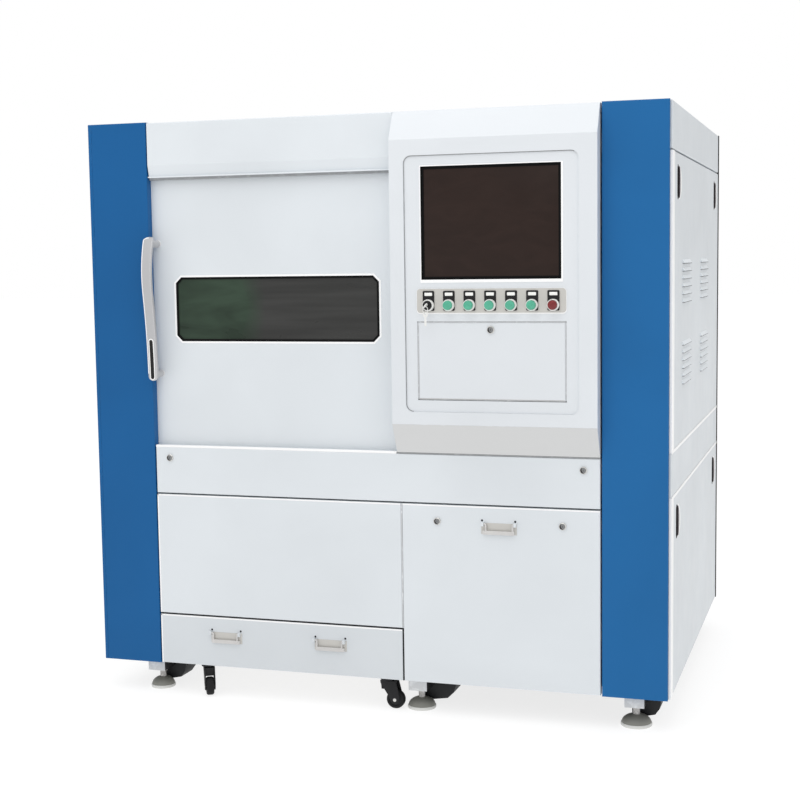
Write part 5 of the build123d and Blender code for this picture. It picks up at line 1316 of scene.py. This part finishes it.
class CUTTER_OT_casters(CutterOperator, bpy.types.Operator):
    """Make the swivel casters and the rear wheels of the scrap drawer"""

    bl_idname = "cutter.casters"
    bl_label = "Casters"

    def execute(self, context):
        for side in ("left", "right"):
            swivel = JOINTS[f"caster_{side}_swivel"]
            trail = JOINTS[f"caster_{side}_spin"] - swivel
            # Local X trails behind the swivel, and the origin is on the floor below it
            place = shifted(swivel.x, swivel.y, 0) @ Matrix.Rotation(math.atan2(trail.y, trail.x), 4, "Z")
            axle_place = place @ shifted(CASTER_TRAIL, 0, CASTER_AXLE) @ UPRIGHT
            self.make_fork(f"caster_fork_{side}", place, axle_place)
            wheel = f"caster_wheel_{side}"
            self.make_wheels(wheel, [axle_place], wheel, 4.1)
        low, high = box("rear_axle")
        middle = (low + high) / 2
        places = [shifted(across, middle.y, middle.z) @ CROSSWISE for across in (low.x + 18, high.x - 18)]
        self.make_wheels("rear_wheels", places, "rear_axle", 6)
        with new_piece("rear_axle_rod", "steel", "rear_axle", "steel") as axle:
            length = high.x - low.x
            profile = [(0, 0), (5, 0), (6, 1), (6, length - 1), (5, length), (0, length)]
            add_turning(axle, profile, shifted(low.x, middle.y, middle.z) @ CROSSWISE, 20)
        return {"FINISHED"}

    def make_fork(self, node, place, axle_place):
        """Pressed fork with its swivel head and axle bolt."""
        stem_top = box(node)[1].z
        top = stem_top - 4
        with new_piece(f"{node}_press", "black_plastic", node, "black_paint", [node]) as fork:
            head = [(0, top - 8), (14, top - 8), (18, top - 6), (20, top - 4), (20, top - 1.2), (19, top), (5, top),
                    (5, stem_top), (0, stem_top)]
            add_turning(fork, head, place, 32)
            outline = [(-18, top - 5), (-17, top - 12), (CASTER_TRAIL - 19, CASTER_AXLE + 13),
                       (CASTER_TRAIL - 12, CASTER_AXLE - 2)]
            for number in range(9):
                angle = math.radians(205 + 150 * number / 8)
                outline.append((CASTER_TRAIL + 12 * math.cos(angle), CASTER_AXLE + 12 * math.sin(angle)))
            outline += [(CASTER_TRAIL + 14, CASTER_AXLE + 8), (27, top - 12), (26, top - 5)]
            crown = [(-15, 53), (22, 53), (24, top - 6), (-17, top - 6)]
            add_plate(fork, crown, 23.2, place @ front_place(0, 11.6, 0))
            for shift in (14.5, -11.5):
                add_plate(fork, outline, 3, place @ front_place(0, shift, 0), 0.6)
        with new_piece(f"{node}_axle", "chrome", node, "chrome") as bolt:
            profile = [(0, -15.4), (3.0, -15.4), (4.6, -14.6), (4.0, -11.4), (4.0, 11.4), (4.6, 14.6), (3.0, 15.4),
                       (0, 15.4)]
            add_turning(bolt, profile, axle_place, 20)

    def make_wheels(self, name, places, body, bore):
        """Wheels with a rounded rubber tread, a dished web and a hub."""
        radius, half = WHEEL_RADIUS, 10
        outer = [(17, -half), (radius - 3, -half), (radius - 0.8, 2.2 - half), (radius, 5 - half),
                 (radius, half - 5), (radius - 0.8, half - 2.2), (radius - 3, half), (17, half)]
        inner = [(bore, -half), (8, -half), (9, 3 - half), (15, 3 - half), (17.2, 0.6 - half),
                 (17.2, half - 0.6), (15, half - 3), (9, half - 3), (8, half), (bore, half)]
        with new_piece(f"{name}_tread", "rubber", body, "rubber", [body]) as tread:
            for place in places:
                add_hollow_turning(tread, outer, place, 40)
        with new_piece(f"{name}_hub", "key_plastic", body, "black_plastic") as hub:
            for place in places:
                add_hollow_turning(hub, inner, place, 40)


class CUTTER_OT_keyboard(CutterOperator, bpy.types.Operator):
    """Make the keys on the inner face of the keyboard flap"""

    bl_idname = "cutter.keyboard"
    bl_label = "Keyboard keys"

    def execute(self, context):
        low, high = box("keyboard")
        margin, columns, rows = 12, 14, 5
        wide = (high.x - low.x - 2 * margin) / columns
        tall = (high.z - low.z - 2 * margin) / rows
        start = (low.x + margin + wide / 2, high.y - 0.4, low.z + margin + tall / 2)
        steps = (columns, (wide, 0, 0)), (rows, (0, 0, tall))
        with new_copies("keyboard_keys", "key_plastic", "flap", "black_plastic", start, *steps) as key:
            add_plate(key, rounded_outline(wide - 2.5, tall - 3, 2, 3), 3.5, INWARD, 1.2)
        return {"FINISHED"}


class CUTTER_OT_screws(CutterOperator, bpy.types.Operator):
    """Make the screws of the fixed panels and the bolts of the guide rails"""

    bl_idname = "cutter.screws"
    bl_label = "Screws and bolts"

    def execute(self, context):
        radius = size("screw_radius")
        inset = 24
        low, high = box("rear_panels")
        row = (5, ((high.x - low.x - 2 * inset) / 4, 0, 0))
        for name, bottom, top in (("upper", REAR_SPLIT, high.z), ("lower", low.z, REAR_SPLIT)):
            start = (low.x + inset, BACK, bottom + inset)
            self.make_screws(f"rear_{name}_screws", radius, BACKWARD, start, row, (2, (0, 0, top - bottom - 2 * inset)))
        low, high = box("exhaust_spigot")
        middle = (low + high) / 2
        reach = 86 * math.sqrt(0.5)
        start = (middle.x - reach, BACK + 3, middle.z - reach)
        self.make_screws("spigot_screws", 4, BACKWARD, start, (2, (2 * reach, 0, 0)), (2, (0, 0, 2 * reach)))
        low, high = box("machine_bed")
        inset = 40
        pair = (2, (high.x - low.x - 2 * inset, 0, 0))
        rows = (18, (0, (high.y - low.y - 2 * inset) / 17, 0))
        self.make_screws("rail_bolts", 5.5, Matrix.Identity(4), (low.x + inset, low.y + inset, high.z), pair, rows)
        return {"FINISHED"}

    def make_screws(self, name, radius, turn, start, *steps):
        """Button-head screws, each with a socket, their heads along local Z."""
        profile = [(0, 0.18), (0.45, 0.18), (0.5, 0.5), (0.72, 0.44), (0.93, 0.24), (1, 0.02), (1, -0.04), (0, -0.04)]
        with new_copies(name, "steel", "cabinet", "steel", start, *steps) as screw:
            add_turning(screw, [(across * radius, level * radius) for across, level in profile], turn, 12)


class CUTTER_OT_cutting_gear(CutterOperator, bpy.types.Operator):
    """Make the details of the gantry, carriage and cutting head"""

    bl_idname = "cutter.cutting_gear"
    bl_label = "Cutting gear"

    def execute(self, context):
        low, high = box("cutting_head")
        place = shifted((low.x + high.x) / 2, low.y + 28, low.z)
        with new_piece("head_collars", "black_plastic", "head", "black_plastic") as collars:
            for level in (71, 135, 197):
                ring = [(27.5, level - 4), (28.6, level - 3.4), (28.6, level + 3.4), (27.5, level + 4)]
                add_hollow_turning(collars, ring, place, 40)
        with new_piece("head_nozzle", "brass", "head", "steel") as nozzle:
            profile = [(0, 0.1), (3.1, 0.1), (6.4, 20), (12.4, 20), (12.4, 28), (0, 28)]
            add_turning(nozzle, profile, place, 32)
        low, high = box("gantry_beam")
        start = (low.x + 30, (low.y + high.y) / 2 - 30, high.z)
        steps = (12, ((high.x - low.x - 60) / 11, 0, 0)), (2, (0, 60, 0))
        with new_copies("beam_bolts", "steel", "gantry", "steel", start, *steps) as bolt:
            profile = [(0, 2), (2.2, 2), (2.6, 3.4), (4.4, 2.4), (5, 0.1), (5, -0.2), (0, -0.2)]
            add_turning(bolt, profile, Matrix.Identity(4), 12)
        return {"FINISHED"}


class CUTTER_OT_stage(CutterOperator, bpy.types.Operator):
    """Make the floor, the lights and the camera"""

    bl_idname = "cutter.stage"
    bl_label = "Floor, lights and camera"

    def execute(self, context):
        studio = context.scene.cutter_studio
        floor = bmesh.new()
        bmesh.ops.create_grid(floor, x_segments=2, y_segments=2, size=40 / MM)
        data = to_mesh(floor, "studio_floor")
        data.materials.append(finish("floor"))
        piece = bpy.data.objects.new("studio_floor", data)
        context.scene.collection.objects.link(piece)
        self.light_room(context.scene, studio.room_light)
        front = FRONT * MM
        self.add_light("key_light", (-0.9, front - 2.6, 4.4), (0.0, front, 0.9), 3.6, studio.key_power)
        self.add_light("top_light", (0.2, front - 0.9, 3.4), (0.0, front + 0.2, 1.5), 2.4, studio.top_power)
        self.add_light("side_light", (4.2, -1.6, 2.2), (0.785, 0.0, 0.9), 2.5, studio.side_power)
        self.place_camera(context.scene, studio, front)
        context.scene.view_settings.view_transform = "Standard"
        return {"FINISHED"}

    def light_room(self, scene, strength):
        """Even white room that looks white to the camera."""
        scene.world = bpy.data.worlds.new("studio_room")
        scene.world.use_nodes = True
        tree = scene.world.node_tree
        tree.nodes.clear()
        mix = tree.nodes.new("ShaderNodeMixShader")
        for socket, power in ((1, strength), (2, 1.0)):
            background = tree.nodes.new("ShaderNodeBackground")
            background.inputs["Color"].default_value = (1.0, 1.0, 1.0, 1.0)
            background.inputs["Strength"].default_value = power
            tree.links.new(background.outputs["Background"], mix.inputs[socket])
        path = tree.nodes.new("ShaderNodeLightPath")
        tree.links.new(path.outputs["Is Camera Ray"], mix.inputs["Fac"])
        tree.links.new(mix.outputs["Shader"], tree.nodes.new("ShaderNodeOutputWorld").inputs["Surface"])

    def add_light(self, name, place, target, size, power):
        """Square soft light aimed at a target."""
        lamp = bpy.data.lights.new(name, "AREA")
        lamp.shape = "SQUARE"
        lamp.size = size
        lamp.energy = power
        light = bpy.data.objects.new(name, lamp)
        light.matrix_world = aim(place, Vector(place) - Vector(target))
        bpy.context.scene.collection.objects.link(light)

    def place_camera(self, scene, studio, front):
        """Camera at the photograph's place and angle."""
        yaw, pitch, roll = studio.camera_yaw, studio.camera_pitch, studio.camera_roll
        ahead = Vector((-math.sin(yaw) * math.cos(pitch), math.cos(yaw) * math.cos(pitch), -math.sin(pitch)))
        right = Vector((math.cos(yaw), math.sin(yaw), 0))
        up = right.cross(ahead)
        across = math.cos(roll) * right + math.sin(roll) * up
        upward = math.cos(roll) * up - math.sin(roll) * right
        lens = bpy.data.cameras.new("photo_camera")
        lens.sensor_width = 36.0
        lens.lens = studio.camera_lens
        lens.clip_end = 200.0
        camera = bpy.data.objects.new("photo_camera", lens)
        place = Matrix.Translation((studio.camera_across, front - studio.camera_distance, studio.camera_height))
        camera.matrix_world = place @ Matrix((across, upward, -ahead)).transposed().to_4x4()
        scene.collection.objects.link(camera)
        scene.camera = camera


OPERATORS = (
    CUTTER_OT_paint, CUTTER_OT_handle, CUTTER_OT_window, CUTTER_OT_console, CUTTER_OT_switches, CUTTER_OT_locks,
    CUTTER_OT_bails, CUTTER_OT_side_covers, CUTTER_OT_seals, CUTTER_OT_feet, CUTTER_OT_casters, CUTTER_OT_keyboard,
    CUTTER_OT_screws, CUTTER_OT_cutting_gear, CUTTER_OT_stage,
)


class CUTTER_PT_sidebar(bpy.types.Panel):
    """Buttons and settings of the laser cutter"""

    bl_idname = "CUTTER_PT_sidebar"
    bl_label = "Laser Cutter"
    bl_space_type = "VIEW_3D"
    bl_region_type = "UI"
    bl_category = "Laser Cutter"

    def draw(self, context):
        for operator in OPERATORS:
            self.layout.operator(operator.bl_idname)
        for group in (context.scene.cutter_colours, context.scene.cutter_sizes, context.scene.cutter_studio):
            section = self.layout.box()
            for name in group.__annotations__:
                section.prop(group, name)


CLASSES = (CutterColours, CutterSizes, CutterStudio, *OPERATORS, CUTTER_PT_sidebar)


def register():
    """Register the classes and the scene's settings."""
    for member in CLASSES:
        bpy.utils.register_class(member)
    bpy.types.Scene.cutter_colours = bpy.props.PointerProperty(type=CutterColours)
    bpy.types.Scene.cutter_sizes = bpy.props.PointerProperty(type=CutterSizes)
    bpy.types.Scene.cutter_studio = bpy.props.PointerProperty(type=CutterStudio)


def unregister():
    """Remove the settings and the classes."""
    del bpy.types.Scene.cutter_studio
    del bpy.types.Scene.cutter_sizes
    del bpy.types.Scene.cutter_colours
    for member in reversed(CLASSES):
        bpy.utils.unregister_class(member)


def main():
    """Make every piece in order."""
    register()
    bpy.ops.cutter.paint()
    bpy.ops.cutter.handle()
    bpy.ops.cutter.window()
    bpy.ops.cutter.console()
    bpy.ops.cutter.switches()
    bpy.ops.cutter.locks()
    bpy.ops.cutter.bails()
    bpy.ops.cutter.side_covers()
    bpy.ops.cutter.seals()
    bpy.ops.cutter.feet()
    bpy.ops.cutter.casters()
    bpy.ops.cutter.keyboard()
    bpy.ops.cutter.screws()
    bpy.ops.cutter.cutting_gear()
    bpy.ops.cutter.stage()


if __name__ == "__main__":
    main()
